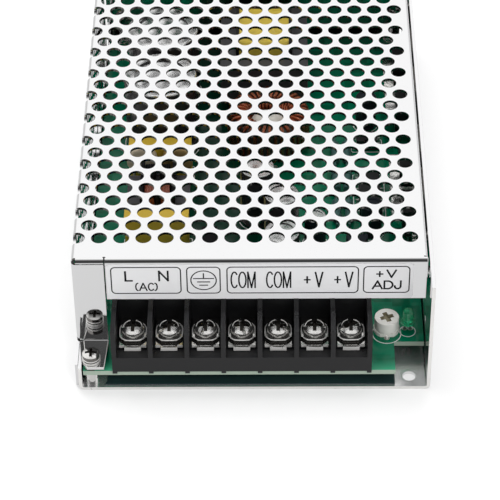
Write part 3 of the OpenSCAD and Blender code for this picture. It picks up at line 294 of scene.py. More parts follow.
def dress(node, material, edge=0.0, segments=2, sharp=32.0, choose=None):
    """A joined copy of a CAD node with smooth rounds and rounded edges, standing for it.

    choose takes the face centres and normals and gives each face's place in the list of materials.
    """
    points, faces = triangles(node)
    mesh = bpy.data.meshes.new(node)
    mesh.from_pydata(points.tolist(), [], faces.tolist())
    if choose is not None:
        chosen = choose(*centres_and_normals(points, faces))
        mesh.polygons.foreach_set("material_index", np.asarray(chosen, np.int32))
    tree = bmesh.new()
    tree.from_mesh(mesh)
    bmesh.ops.dissolve_limit(
        tree, angle_limit=math.radians(FLAT_BEND), verts=tree.verts[:], edges=tree.edges[:],
        delimit={"MATERIAL"}, use_dissolve_boundaries=False,
    )
    tree.to_mesh(mesh)
    tree.free()
    shade_smooth(mesh, sharp)
    piece = put(f"{node}_looks", mesh, material, **ties(node), stands_for=[node])
    if edge:
        bevel = piece.modifiers.new("rounded edges", "BEVEL")
        bevel.width = edge
        bevel.segments = segments
        bevel.limit_method = "ANGLE"
        bevel.angle_limit = math.radians(sharp)
        bevel.harden_normals = True
    return piece


class Shape:
    """Points and faces of one mesh, gathered from several surfaces."""

    def __init__(self):
        self.points, self.faces, self.count = [], [], 0

    def add(self, points, faces):
        """Takes in a surface whose faces count its own points from 0."""
        self.points.append(points.reshape(-1, 3))
        self.faces += [[int(k) + self.count for k in face] for face in faces]
        self.count += points.size // 3

    def sweep(self, path, across, up, section, closed=False):
        """Carries a section along a path: point = path + a * across + b * up for each (a, b) of it.

        Quads join each section to the next, and the ends of an open path are closed by the section itself.
        """
        across, up = np.broadcast_to(across, path.shape), np.broadcast_to(up, path.shape)
        points = path[:, None] + section[None, :, :1] * across[:, None] + section[None, :, 1:] * up[:, None]
        index = np.arange(points.size // 3).reshape(len(path), len(section))
        ends = [] if closed else [index[0, ::-1], index[-1]]
        index = np.vstack([index, index[:1]]) if closed else index
        index = np.hstack([index, index[:, :1]])
        quads = np.stack([index[:-1, :-1], index[:-1, 1:], index[1:, 1:], index[1:, :-1]], axis=-1)
        self.add(points, [*quads.reshape(-1, 4), *ends])

    def bead(self, path, section, closed=False, up=UP):
        """Sweeps a section along a path that lies flat: across is the path's direction crossed with up."""
        self.sweep(path, np.cross(directions(path, closed), up), up, section, closed)

    def wire(self, path, beside, radius, closed=False):
        """Sweeps a circle along a path: across is square to the path and to the direction beside it."""
        along = directions(path, closed)
        across = np.cross(along, beside)
        across /= np.linalg.norm(across, axis=1, keepdims=True)
        self.sweep(path, across, np.cross(across, along), circle_section(radius), closed)

    def put(self, name, material, sharp=40.0, **tied):
        """Makes the piece, with doubled points joined, normals outwards and sharp edges kept."""
        mesh = bpy.data.meshes.new(name)
        mesh.from_pydata(np.vstack(self.points).tolist(), [], self.faces)
        tree = bmesh.new()
        tree.from_mesh(mesh)
        bmesh.ops.remove_doubles(tree, verts=tree.verts[:], dist=WELD)
        bmesh.ops.recalc_face_normals(tree, faces=tree.faces[:])
        tree.to_mesh(mesh)
        tree.free()
        shade_smooth(mesh, sharp)
        return put(name, mesh, material, **tied)


def circle_section(radius, sides=8):
    """Points of a round section."""
    turn = np.linspace(0, 2 * math.pi, sides, endpoint=False)
    return radius * np.stack([np.cos(turn), np.sin(turn)], axis=-1)


def box_section(width, height):
    """Corners of a section that is width wide and stands from 0 to height."""
    return np.array([[-width / 2, 0], [width / 2, 0], [width / 2, height], [-width / 2, height]])


def directions(path, closed=False):
    """Unit tangents of a path from the points on each side."""
    step = np.roll(path, -1, axis=0) - np.roll(path, 1, axis=0) if closed else np.gradient(path, axis=0)
    return step / np.linalg.norm(step, axis=1, keepdims=True)


def squircle(turn, half_a, half_b, power=5.0):
    """Points of a rounded rectangle: each half width times the cosine or sine to the power 2 / power."""
    c, s = np.cos(turn), np.sin(turn)
    return half_a * np.sign(c) * np.abs(c) ** (2 / power), half_b * np.sign(s) * np.abs(s) ** (2 / power)


def arc(middle, size, start, end, steps=20):
    """Points of part of an ellipse, from one angle to another in degrees."""
    turn = np.radians(np.linspace(start, end, steps))
    return [(middle[0] + size[0] * c, middle[1] + size[1] * s) for c, s in zip(np.cos(turn), np.sin(turn))]


def rounded_loop(width, height, radius, corner=7):
    """Points of a rectangle with round corners, anticlockwise about the origin."""
    turn = np.linspace(0, math.pi / 2, corner)
    bend = np.stack([np.cos(turn), np.sin(turn)], axis=-1) * radius
    quarter = []
    for k, (sx, sy) in enumerate([(1, 1), (-1, 1), (-1, -1), (1, -1)]):
        c, s = round(math.cos(k * math.pi / 2)), round(math.sin(k * math.pi / 2))
        turned = bend @ np.array([[c, s], [-s, c]])
        quarter.append(turned + [sx * (width / 2 - radius), sy * (height / 2 - radius)])
    return np.vstack(quarter)


def level_path(loop, height, middle=(0.0, 0.0)):
    """Points of a plane loop about a middle, at one height."""
    return np.column_stack([np.asarray(loop) + middle, np.full(len(loop), height)])


# Shader nodes


def join(tree, node, sockets):
    """Joins a node's inputs to other sockets, or sets them to values, by name or number."""
    for key, value in sockets.items():
        if isinstance(value, bpy.types.NodeSocket):
            tree.links.new(value, node.inputs[key])
        else:
            node.inputs[key].default_value = value


def add_node(tree, kind, sockets=None, **settings):
    """Adds a node, sets its own settings, and joins or sets its inputs."""
    node = tree.nodes.new(kind)
    for key, value in settings.items():
        setattr(node, key, value)
    join(tree, node, sockets or {})
    return node


def ramp(tree, value, start, end, low=0.0, high=1.0, **settings):
    """Result of a map range that goes from low at start to high at end."""
    sockets = {"Value": value, "From Min": start, "From Max": end, "To Min": low, "To Max": high}
    return add_node(tree, "ShaderNodeMapRange", sockets, **settings).outputs["Result"]


def maths(tree, operation, *values):
    """Result of a maths node on numbers or sockets."""
    return add_node(tree, "ShaderNodeMath", dict(enumerate(values)), operation=operation).outputs[0]


def mix_colours(tree, factor, first, second):
    """Result of a mix of two colours."""
    return add_node(tree, "ShaderNodeMix", {0: factor, 6: first, 7: second}, data_type="RGBA").outputs[2]


def mix_values(tree, factor, first, second):
    """Result of a mix of two numbers."""
    return add_node(tree, "ShaderNodeMix", {0: factor, 2: first, 3: second}, data_type="FLOAT").outputs[0]


def split(tree, vector):
    """The X, Y and Z sockets of a vector."""
    return add_node(tree, "ShaderNodeSeparateXYZ", {"Vector": vector}).outputs


def place_on(tree, kind="Object"):
    """Socket of the texture coordinates, by default in the object's own axes."""
    return add_node(tree, "ShaderNodeTexCoord").outputs[kind]


def opaque(rgb):
    """A colour with its alpha."""
    return (*rgb, 1.0)


def blank(name):
    """A new material with its node tree and its shader."""
    material = bpy.data.materials.new(f"{PREFIX} {name}")
    material.use_nodes = True
    return material, material.node_tree, material.node_tree.nodes["Principled BSDF"]


# Finishes


def noise(tree, scale, detail):
    """Socket of a noise on the object's own coordinates, with a given scale to the metre."""
    sockets = {"Vector": place_on(tree), "Scale": scale, "Detail": detail}
    return add_node(tree, "ShaderNodeTexNoise", sockets).outputs["Fac"]


# Detail of the noises, values of the broad one between which the roughness drifts, and the fine one's depth
BROAD_DETAIL, FINE_DETAIL = 5.0, 3.0
DRIFT, LEAST_ROUGHNESS = (0.3, 0.7), 0.02
GRAIN_DEPTH = 0.1


def finish(
    name, rgb, roughness, metallic=0.0, shade=0.12, spread=0.08, fine=4000.0, broad=60.0, bump=0.05, **fixed
):
    """A material whose colour and roughness drift with a broad noise, and whose surface has a fine one.

    fixed holds values for other sockets of the shader, with _ for a space in their names.
    """
    if f"{PREFIX} {name}" in bpy.data.materials:
        return bpy.data.materials[f"{PREFIX} {name}"]
    material, tree, shader = blank(name)
    drift = noise(tree, broad, BROAD_DETAIL)
    dark = [c * (1 - shade) for c in rgb]
    light = [min(1.0, c * (1 + shade)) for c in rgb]
    least = max(LEAST_ROUGHNESS, roughness - spread)
    join(tree, shader, {
        "Base Color": mix_colours(tree, drift, opaque(dark), opaque(light)),
        "Roughness": ramp(tree, drift, *DRIFT, least, roughness + spread),
        "Metallic": metallic,
    })
    if bump:
        sockets = {"Strength": bump, "Distance": GRAIN_DEPTH * MM, "Height": noise(tree, fine, FINE_DETAIL)}
        join(tree, shader, {"Normal": add_node(tree, "ShaderNodeBump", sockets).outputs["Normal"]})
    join(tree, shader, {socket.replace("_", " "): value for socket, value in fixed.items()})
    return material


def bright_sheet():
    """Mirror-bright plated sheet with faint waves and haze."""
    metal = looks("metal")
    return finish("bright sheet", metal.sheet, metal.sheet_roughness, metallic=1.0, shade=0.02, spread=0.02,
                  fine=90.0, broad=35.0, bump=0.06)


def hazy_sheet():
    """Plated sheet of the base, which blurs what it mirrors."""
    return finish("hazy sheet", looks("metal").sheet, 0.2, metallic=0.84, shade=0.05, broad=120.0, bump=0.02)


def plated():
    """Bright plating on small steel parts."""
    metal = looks("metal")
    return finish("bright plating", metal.plate, metal.plate_roughness, metallic=1.0, shade=0.05, spread=0.04,
                  fine=900.0, broad=500.0, bump=0.25)


def worn_plating():
    """Plating on screw heads that a driver has marked."""
    metal = looks("metal")
    return finish("worn plating", metal.plate, metal.plate_roughness, metallic=1.0, shade=0.1, spread=0.05,
                  fine=1500.0, broad=700.0, bump=0.9)


def shaded_plating():
    """Plating on sides that stand in shade."""
    return finish("shaded plating", looks("metal").shaded, 0.16, metallic=1.0, shade=0.15, broad=500.0,
                  bump=0.1)


def edge_and_highlight_metal():
    """Plain metal of cut and pressed edges, which catch the light, and of the beads that stand as painted
    highlights.
    """
    return finish("edge metal", looks("metal").plate, 0.35, metallic=0.3, shade=0.05, broad=500.0, bump=0.01)


def painted_shade_metal():
    """Dark metal as painted shade in the bottoms of the drives and on the ground washers' sides."""
    return finish("recess metal", looks("metal").recess, 0.3, metallic=0.8, shade=0.1, broad=500.0, bump=0.1)


def tinned():
    """Dull tin on leads and pins."""
    return finish("tinned lead", (0.72, 0.72, 0.7), 0.4, metallic=1.0, broad=400.0)


def can_metal():
    """Bare aluminium of the capacitor tops."""
    return finish("can metal", (0.93, 0.93, 0.93), 0.22, metallic=1.0, shade=0.04, fine=9000.0, broad=300.0)


def enamel():
    """Enamelled copper wire."""
    return finish("enamelled wire", looks("metal").copper, 0.24, metallic=0.85, broad=300.0, bump=0.02,
                  Coat_Weight=0.4)


def dark_enamel():
    """Dark red enamelled wire of the line choke."""
    return finish("dark wire", looks("metal").dark_wire, 0.28, metallic=0.5, broad=300.0, bump=0.02,
                  Coat_Weight=0.5)


def black_moulding():
    """Satin black moulded plastic."""
    return finish("black moulding", looks("plastic").black, 0.34, shade=0.25, fine=7000.0, broad=120.0,
                  bump=0.12, Specular_IOR_Level=0.4)


def inner_black():
    """Dull black of the mouldings inside the case."""
    return finish("inner black", looks("plastic").black, 0.5, shade=0.25, broad=120.0, bump=0.1,
                  Specular_IOR_Level=0.1)


def lamp_resin():
    """Clear coloured resin with a lumpy surface that sparkles, its colour mottled from dark to light as
    painted glints.
    """
    return finish("lamp resin", looks("plastic").lamp, 0.06, shade=0.9, spread=0.03, fine=1700.0,
                  broad=1300.0, bump=1.0, Transmission_Weight=0.6, IOR=1.5, Coat_Weight=1.0)


def fuse_glass():
    """Clear glass of the fuse."""
    return finish("fuse glass", (0.92, 0.95, 0.95), 0.05, shade=0.02, spread=0.02, bump=0.0,
                  Transmission_Weight=1.0, IOR=1.5)


def coating(name, rgb, roughness=0.35):
    """Dipped coating of the discs."""
    return finish(name, rgb, roughness, fine=1500.0, bump=0.1)


def ferrite():
    """Grey ferrite of the cores."""
    return finish("ferrite", looks("plastic").ferrite, 0.4, bump=0.1)


def label_film():
    """Pale film of the label strip."""
    return finish("label film", looks("board").film, 0.45, shade=0.03, spread=0.05, broad=40.0, bump=0.0,
                  Specular_IOR_Level=0.3)


def ink():
    """Matt black printing ink."""
    return finish("ink", looks("board").ink, 0.6, broad=300.0, bump=0.0, Specular_IOR_Level=0.12)


def silk_ink():
    """White printing on the board."""
    return finish("silk ink", looks("board").silk, 0.5, shade=0.08, broad=900.0)


# Copper areas under the mask: areas to a metre, how far they stray, and the distance at which an area ends
COPPER_SCALE, COPPER_STRAY, COPPER_EDGE = 150.0, 0.75, (0.36, 0.4)
# Painted shade over the middle area and painted light along the front edge, in metres: the shade's X, half
# width and front, and the lit edge's Y
SHADE_X, SHADE_HALF, SHADE_FRONT = -0.008, (0.014, 0.009), (-0.062, -0.055)
BRIM_LIGHT_FRONT = (-0.0745, -0.0785)
# The mask's relief and its depth in metres, and the roughness of the mask and of the cut rim
MASK_BUMP, MASK_DEPTH, MASK_ROUGHNESS, RIM_ROUGHNESS = 0.25, 0.00005, 0.12, 0.7


def board_laminate():
    """Green solder mask with paler copper areas under it, painted shade over the middle area, painted light
    along the front edge, and a bare rim where the board was cut.
    """
    board = looks("board")
    material, tree, shader = blank("board laminate")
    place = place_on(tree)
    areas = add_node(
        tree, "ShaderNodeTexVoronoi", {"Vector": place, "Scale": COPPER_SCALE, "Randomness": COPPER_STRAY},
        distance="CHEBYCHEV", feature="F1",
    )
    copper = ramp(tree, areas.outputs["Distance"], *COPPER_EDGE)
    normal = split(tree, add_node(tree, "ShaderNodeNewGeometry").outputs["True Normal"])
    cut = maths(tree, "LESS_THAN", maths(tree, "ABSOLUTE", normal["Z"]), SLANT)
    spot = split(tree, place)
    beside = maths(tree, "ABSOLUTE", maths(tree, "SUBTRACT", spot["X"], SHADE_X))
    # Painted shade over the middle area
    plane = maths(tree, "MULTIPLY", ramp(tree, beside, *SHADE_HALF), ramp(tree, spot["Y"], *SHADE_FRONT))
    mask = opaque(board.mask)
    layers = (
        # Copper areas, painted shade over the middle, painted light along the front edge, and the cut rim
        (copper, board.trace), (plane, board.plane), (ramp(tree, spot["Y"], *BRIM_LIGHT_FRONT), board.brim_light),
        (cut, board.rim),
    )
    for cover, rgb in layers:
        mask = mix_colours(tree, cover, mask, opaque(rgb))
    relief = add_node(
        tree, "ShaderNodeBump", {"Strength": MASK_BUMP, "Distance": MASK_DEPTH, "Height": copper}
    )
    join(tree, shader, {
        "Base Color": mask,
        "Normal": relief.outputs["Normal"],
        "Roughness": ramp(tree, cut, 0.0, 1.0, MASK_ROUGHNESS, RIM_ROUGHNESS),
        "Specular IOR Level": 0.35,
    })
    return material


# Choosers of a face's material

# Parts of a face's unit normal along an axis: it lies flat, flat without a bend, at a slant or steep
FLAT, TRUE_FLAT, SLANT, STEEP = 0.9, 0.999, 0.5, 0.3
# A drive's reach as a share of the head's radius, and depths of its walls and of its bottom, in millimetres
DRIVE_REACH, DRIVE_DEPTH, DRIVE_BOTTOM = 0.75, 2.2, 1.0
# Least part of a can top's normal along Z, and how far the tops reach down, in millimetres
CAN_TILT, CAN_DEPTH = 0.7, 1.2


def sides(tilt):
    """Chooses the second material for faces whose normals have less than a given part along Z."""
    return lambda centres, normals: np.abs(normals[:, Z]) < tilt


def front_faces(centres, normals):
    """Chooses the second material for faces that look to the front."""
    return normals[:, Y] < -SLANT


def outside(axis, low=-math.inf, high=math.inf):
    """Chooses the second material for faces whose middles lie outside a range along an axis."""
    return lambda centres, normals: (centres[:, axis] < low) | (centres[:, axis] > high)


def can_tops(node):
    """Chooses the second material for the faces of the cans' flat tops."""
    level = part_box(node)[1].z - CAN_DEPTH * MM
    return lambda centres, normals: (normals[:, Z] > CAN_TILT) & (centres[:, Z] > level)


def drive_faces(node):
    """Chooses the second material for a drive's walls and bottom, which look at the axis or lie deep."""
    low, high = box_of(node)
    axis, top = (low + high)[:2] / 2, high[Z]
    reach = (high - low)[X] / 2

    def choose(centres, normals):
        distance = np.linalg.norm(centres[:, :2] - axis, axis=1)
        inner = (distance < DRIVE_REACH * reach) & (centres[:, Z] > top - DRIVE_DEPTH * MM)
        return inner & ((normals[:, Z] < STEEP) | (centres[:, Z] < top - DRIVE_BOTTOM * MM))

    return choose


# Operators, one for each group of pieces

# How far below the cover's top the walls of its holes are looked for, and the base's height, in millimetres
HOLE_WALL = 0.75
BASE_TOP = 1.5


class SheetMetal(bpy.types.Operator):
    """Give the chassis and the cover their mirror-bright finish"""

    bl_idname = "supply.sheet_metal"
    bl_label = "Sheet metal"

    def execute(self, context):
        edge = looks("metal").edge
        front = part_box("chassis")[0].y + edge
        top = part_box("cover")[1].z - HOLE_WALL * MM
        upright = sides(STEEP)

        def cut_or_base(centres, normals):
            cut = (normals[:, Y] < -FLAT) & (centres[:, Y] < front)
            base = (normals[:, Z] > FLAT) & (centres[:, Z] < BASE_TOP * MM)
            return np.where(cut, 1, np.where(base, 2, 0))

        def hole_walls(centres, normals):
            return upright(centres, normals) & (centres[:, Z] > top)

        sheets = [bright_sheet(), edge_and_highlight_metal(), hazy_sheet()]
        dress("chassis", sheets, edge, sharp=28.0, choose=cut_or_base)
        dress("cover", [bright_sheet(), shaded_plating()], sharp=28.0, choose=hole_walls)
        return {"FINISHED"}


# Radius of the painted highlight beads on the ground connection and the lower bead's depth, in millimetres
GROUND_BEAD = 0.2
GROUND_STEP = 0.8
# Radius of the beads on the foot's edges, as a share of the others
EDGE_SHARE = 0.7
# Sides of printed and pressed rings
RING_SIDES = 48


def ground_beads():
    """Beads of painted highlight on the ground connection: a round section along circles and along the foot's
    three free edges.

    The circles lie at the foot's upper face and at the washers' upper edges. The foot is that part of the
    cover which looks up between the washers.
    """
    low, high = box_of("ground_washers")
    radius = GROUND_BEAD * MM
    points, faces = triangles("cover")
    centres, normals = centres_and_normals(points, faces)
    between = (centres[:, Z] < high[Z]) & (centres[:, X] > low[X] - radius)
    foot = points[faces[between & (normals[:, Z] > TRUE_FLAT)]].reshape(-1, 3)
    (left, front, level), (right, rear, _) = foot.min(axis=0), foot.max(axis=0)
    toe = foot[foot[:, Y] < front + WELD, X]
    beads = Shape()
    ring = circle_section((high - low)[X] / 2 - radius / 2, RING_SIDES)
    for height in (level + radius, high[Z] - GROUND_STEP * MM, high[Z]):
        beads.bead(level_path(ring, height, (low + high)[:2] / 2), circle_section(radius), closed=True)
    edges = np.array([(left, rear), (toe.min(), front), (toe.max(), front), (right, rear)])
    for ends in zip(edges[:-1], edges[1:]):
        beads.bead(level_path(ends, level), circle_section(radius * EDGE_SHARE))
    beads.put("ground_beads", edge_and_highlight_metal())


class Fasteners(bpy.types.Operator):
    """Plate the screws, washers, standoffs and clamp bars"""

    bl_idname = "supply.fasteners"
    bl_label = "Fasteners"

    def execute(self, context):
        edge = looks("metal").edge
        drive, upright = drive_faces("ground_screw"), sides(STEEP)

        def drive_or_side(centres, normals):
            return np.where(drive(centres, normals), 2, upright(centres, normals))

        # The drive and the washers' upright sides take painted shade; the screw's sides take the shaded
        # plating
        dress("ground_screw", [plated(), shaded_plating(), painted_shade_metal()], edge, choose=drive_or_side)
        dress("ground_washers", [plated(), painted_shade_metal()], edge, choose=upright)
        # Beads of painted highlight on the washers and along the foot's edges
        ground_beads()
        for node in ("board_screws", "cover_screws", "clamp_screws", "standoffs", "clamp_bars"):
            dress(node, plated(), edge)
        return {"FINISHED"}


# Arcs of the painted highlight ring on the screw heads, in degrees from +X, and its radius as a share of the
# head's
SHOULDER_ARCS = ((0, 72), (108, 180))
SHOULDER_SHARE = 0.82
SHOULDER_STEPS = 12
# Points of a screw beyond this share of its radius are the head's rim
HEAD_RIM = 0.98
# Radius of the painted highlight bead round the clamp washers, in rounded edges, and its corners' radius, in
# millimetres
RIM_EDGES = 1.5
RIM_CORNER = 2.6


def shoulder_highlight(node, radius):
    """Ring of painted highlight on a screw's head: a round section along two arcs that lie on the dome,
    beside the drive.
    """
    points, _ = triangles(node)
    low, high = box_of(node)
    axis, reach = (low + high)[:2] / 2, (high - low)[X] / 2
    distance = np.linalg.norm(points[:, :2] - axis, axis=1)
    dome = points[:, Z] >= points[distance > HEAD_RIM * reach, Z].max()
    order = np.argsort(distance[dome])
    reach *= SHOULDER_SHARE
    level = np.interp(reach, distance[dome][order], points[dome, Z][order])
    ring = Shape()
    for start, end in SHOULDER_ARCS:
        path = level_path(arc(axis, (reach, reach), start, end, SHOULDER_STEPS), level)
        ring.bead(path, circle_section(radius))
    ring.put(f"{node}_shoulder", edge_and_highlight_metal(), **ties(node))


def washer_rim(node, radius):
    """Bead of painted highlight round a clamp washer: a round section along a rounded square at the washer's
    upper edge.
    """
    low, high = box_of(node)
    width, depth, _ = high - low - 2 * radius
    loop = rounded_loop(width, depth, RIM_CORNER * MM)
    rim = Shape()
    rim.bead(level_path(loop, high[Z], (low + high)[:2] / 2), circle_section(radius), closed=True)
    rim.put(f"{node}_rim", edge_and_highlight_metal(), **ties(node))


class TerminalStrip(bpy.types.Operator):
    """Finish the terminal block, its contact plates, clamp washers and screws"""

    bl_idname = "supply.terminal_strip"
    bl_label = "Terminal strip"

    def execute(self, context):
        edge = looks("metal").edge
        dress("terminal_block", black_moulding(), looks("plastic").edge)
        dress("contact_plates", [plated(), edge_and_highlight_metal()], edge, choose=front_faces)
        for node in frame["nodes"]:
            if node.startswith("terminal_screw_"):
                # Each drive takes painted shade
                dress(node, [worn_plating(), painted_shade_metal()], edge, segments=3, choose=drive_faces(node))
                # A ring of painted highlight on the head's dome
                shoulder_highlight(node, edge)
            if node.startswith("clamp_washer_"):
                dress(node, [plated(), shaded_plating()], edge, segments=3, choose=sides(SLANT))
                # A bead of painted highlight along the washer's upper edge
                washer_rim(node, RIM_EDGES * edge)
        return {"FINISHED"}


# Printing on the label strip, in millimetres from its lower left corner: text, middle, size and stroke
LABEL_WORDS = (
    ("L", 5.95, 8.4, 2.3, 3.85, 0.56),
    ("N", 15.45, 8.5, 2.9, 3.95, 0.52),
    ("(AC)", 10.7, 4.5, 6.2, 3.0, 0.38),
    ("COM", 37.05, 6.95, 6.9, 6.1, 0.42),
    ("COM", 46.7, 6.95, 6.9, 6.1, 0.42),
    ("+", 54.45, 6.9, 1.9, 2.7, 0.48),
    ("V", 57.65, 6.95, 2.4, 5.75, 0.48),
    ("+", 62.7, 6.9, 1.9, 2.7, 0.48),
    ("V", 65.8, 6.95, 2.4, 5.75, 0.48),
    ("+", 74.1, 8.9, 2.0, 2.2, 0.46),
    ("V", 77.3, 9.0, 2.9, 3.1, 0.5),
    ("ADJ", 76.1, 4.9, 8.1, 3.3, 0.5),
)
# Frames on the label strip: left and right of each, then their low and high edge and their corners' radius
LABEL_FRAMES = ((1.2, 20.1), (21.8, 30.8), (32.7, 68.3), (69.8, 82.2))
FRAME_LOW, FRAME_HIGH, FRAME_ROUND = 2.1, 11.65, 1.2
# Ground sign: middle and radius, and the starts and ends of its lines from that middle
GROUND_SIGN = (26.3, 6.85, 3.45)
GROUND_LINES = (
    ((-2.7, 0.65), (2.7, 0.65)),
    ((-1.63, -0.6), (1.63, -0.6)),
    ((-1.05, -1.8), (1.05, -1.8)),
    ((0, 0.65), (0, 2.45)),
)
# Pen strokes of each sign in a unit square, and the sign's width beside the others
GLYPHS = {
    "L": (0.8, [[(0, 1), (0, 0), (1, 0)]]),
    "N": (1.0, [[(0, 0), (0, 1), (1, 0), (1, 1)]]),
    "V": (1.1, [[(0, 1), (0.5, 0), (1, 1)]]),
    "M": (1.0, [[(0, 0), (0, 1), (0.5, 0), (1, 1), (1, 0)]]),
    "A": (1.2, [[(0, 0), (0.5, 1), (1, 0)], [(0.17, 0.34), (0.83, 0.34)]]),
    "D": (1.05, [[(0, 0), (0, 1), *arc((0.4, 0.5), (0.6, 0.5), 90, -90), (0, 0)]]),
    "J": (0.75, [[(1, 1), *arc((0.5, 0.35), (0.5, 0.35), 0, -180)]]),
    "C": (0.8, [arc((0.58, 0.5), (0.58, 0.5), 45, 315)]),
    "O": (1.0, [arc((0.5, 0.5), (0.5, 0.5), 0, 360)]),
    "(": (0.35, [arc((1, 0.5), (1, 0.5), 90, 270)]),
    ")": (0.35, [arc((0, 0.5), (1, 0.5), 90, -90)]),
    "+": (1.0, [[(0, 0.5), (1, 0.5)], [(0.5, 0), (0.5, 1)]]),
}
GLYPH_GAP = 0.28
# A stroke's overrun as a share of half its width, and how much higher each of three strokes by turns stands
STROKE_END = 0.9
LIFT_STEP = 0.2
# Faces of a bar with its four corners on the label and then its four raised ones
BAR_FACES = np.array([[3, 2, 1, 0], [4, 5, 6, 7], [0, 1, 5, 4], [1, 2, 6, 5], [2, 3, 7, 6], [3, 0, 4, 7]])


def word_strokes(text, width, height):
    """Starts and ends of a word's strokes, fitted to a width and a height about the origin."""
    starts, ends, left = [], [], 0.0
    for sign in text:
        wide, lines = GLYPHS[sign]
        for line in lines:
            points = np.array(line, float) * [wide, 1.0] + [left, 0.0]
            starts.append(points[:-1])
            ends.append(points[1:])
        left += wide + GLYPH_GAP
    fit = np.array([width / (left - GLYPH_GAP), height])
    middle = np.array([width, height]) / 2
    return np.vstack(starts) * fit - middle, np.vstack(ends) * fit - middle


def on_label(middle, flat):
    """Points on the label's face from points about a middle, in millimetres from the lower left corner."""
    corner = box_of("terminal_label")[0]
    place = corner + np.array([middle[0], 0, middle[1]]) * MM
    return np.stack([flat[..., 0], np.zeros(flat.shape[:-1]), flat[..., 1]], axis=-1) + place


def label_bars(shape, middle, starts, ends, width):
    """Flat bars: each corner = an end, moved half a width along and across, on the label and raised.

    The lift grows by turns, so that bars that cross have no faces in one plane.
    """
    along = (ends - starts) / np.linalg.norm(ends - starts, axis=1, keepdims=True) * width / 2
    across = along[:, ::-1] * [-1, 1]
    first, last = starts - along * STROKE_END, ends + along * STROKE_END
    flat = np.stack([first - across, last - across, last + across, first + across], axis=1)
    solid = on_label(middle, flat)
    order = np.arange(len(starts))
    lifts = looks("board").ink_height * (1 + LIFT_STEP * (order % 3))
    solid = np.concatenate([solid, solid + lifts[:, None, None] * TO_FRONT], axis=1)
    shape.add(solid, (order[:, None, None] * 8 + BAR_FACES).reshape(-1, 4))


def label_outline(shape, middle, loop):
    """Carries the line's section round a closed loop on the label."""
    board = looks("board")
    line = box_section(board.label_line, board.ink_height)
    shape.bead(on_label(middle, loop), line, closed=True, up=TO_FRONT)


class LabelStrip(bpy.types.Operator):
    """Finish the label strip and print its plain terminal marks"""

    bl_idname = "supply.label_strip"
    bl_label = "Label strip"

    def execute(self, context):
        board = looks("board")
        dress("terminal_label", label_film())
        marks = Shape()
        for text, x, z, width, height, stroke in LABEL_WORDS:
            starts, ends = word_strokes(text, (width - stroke) * MM, (height - stroke) * MM)
            label_bars(marks, (x, z), starts, ends, stroke * MM)
        for left, right in LABEL_FRAMES:
            loop = rounded_loop((right - left) * MM, (FRAME_HIGH - FRAME_LOW) * MM, FRAME_ROUND * MM)
            label_outline(marks, ((left + right) / 2, (FRAME_LOW + FRAME_HIGH) / 2), loop)
        *middle, radius = GROUND_SIGN
        label_outline(marks, middle, circle_section(radius * MM, RING_SIDES))
        lines = np.array(GROUND_LINES) * MM
        label_bars(marks, middle, lines[:, 0], lines[:, 1], board.label_line)
        marks.put("label_marks", ink(), slot="label_film")
        return {"FINISHED"}


# Printed rings on the board, in millimetres: middle from the trimmer's or the lamp's own middle, and radius
TRIMMER_RING = (0.0, -1.6, 4.0)
LAMP_RING = (0.0, -1.1, 2.2)
# Printed outlines stand this far outside their parts, and round leads have this radius, in millimetres
PRINT_GAP = 0.6
LEAD_RADIUS = 0.4
# Nodes whose outlines are printed on the board, round ones and square ones
ROUND_PARTS = ("output_capacitors", "bulk_capacitors", "small_capacitors")
SQUARE_PARTS = (
    "line_capacitors", "control_chip", "optocoupler", "bridge_rectifier", "varistor", "thermistor"
)
# Sides of the round outlines and of the solder pads, and the pads' height in heights of the ink
CAN_SIDES, PAD_SIDES, PAD_HEIGHT = 64, 24, 3


def solder_pads(board):
    """Rings of solder: a square section along circles round the lamp's leads and the trimmer's front lead."""
    pads, lead = Shape(), LEAD_RADIUS * MM
    section = box_section(board.line, PAD_HEIGHT * board.ink_height)
    places = [(low + high)[:2] / 2 for low, high in solid_boxes("lamp_leads")]
    rotor = np.mean(box_of("trimmer_rotor"), axis=0)
    places.append((rotor[X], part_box("trimmer_body")[0].y + lead))
    for place in places:
        ring = circle_section(lead + board.line, PAD_SIDES)
        pads.bead(level_path(ring, board_top(), place), section, closed=True)
    pads.put("solder_pads", tinned(), slot="plated_steel")


def board_printing(board):
    """Printed lines: a flat section along circles and rounded rectangles round the parts."""
    silk, line = Shape(), box_section(board.line, board.ink_height)
    outlines = []
    for node, (dx, dy, radius) in (("trimmer_rotor", TRIMMER_RING), ("lamp_lens", LAMP_RING)):
        middle = np.mean(box_of(node), axis=0)[:2] + np.array([dx, dy]) * MM
        outlines.append((circle_section(radius * MM, RING_SIDES), middle))
    around = PRINT_GAP * MM
    for node in (*ROUND_PARTS, *SQUARE_PARTS):
        for low, high in solid_boxes(node):
            width, depth = (high - low)[:2] + 2 * around
            loop = rounded_loop(width, depth, around)
            if node in ROUND_PARTS:
                loop = circle_section(width / 2, CAN_SIDES)
            outlines.append((loop, (low + high)[:2] / 2))
    for loop, middle in outlines:
        silk.bead(level_path(loop, board_top(), middle), line, closed=True)
    silk.put("board_printing", silk_ink(), slot="board_laminate")


class Board(bpy.types.Operator):
    """Finish the circuit board, its printing and the insulation sheet"""

    bl_idname = "supply.board"
    bl_label = "Circuit board"

    def execute(self, context):
        board = looks("board")
        dress("circuit_board", board_laminate())
        film = finish("insulation film", board.sheet, 0.2, shade=0.2, broad=30.0)
        dress("insulation_sheet", film)
        solder_pads(board)
        board_printing(board)
        return {"FINISHED"}


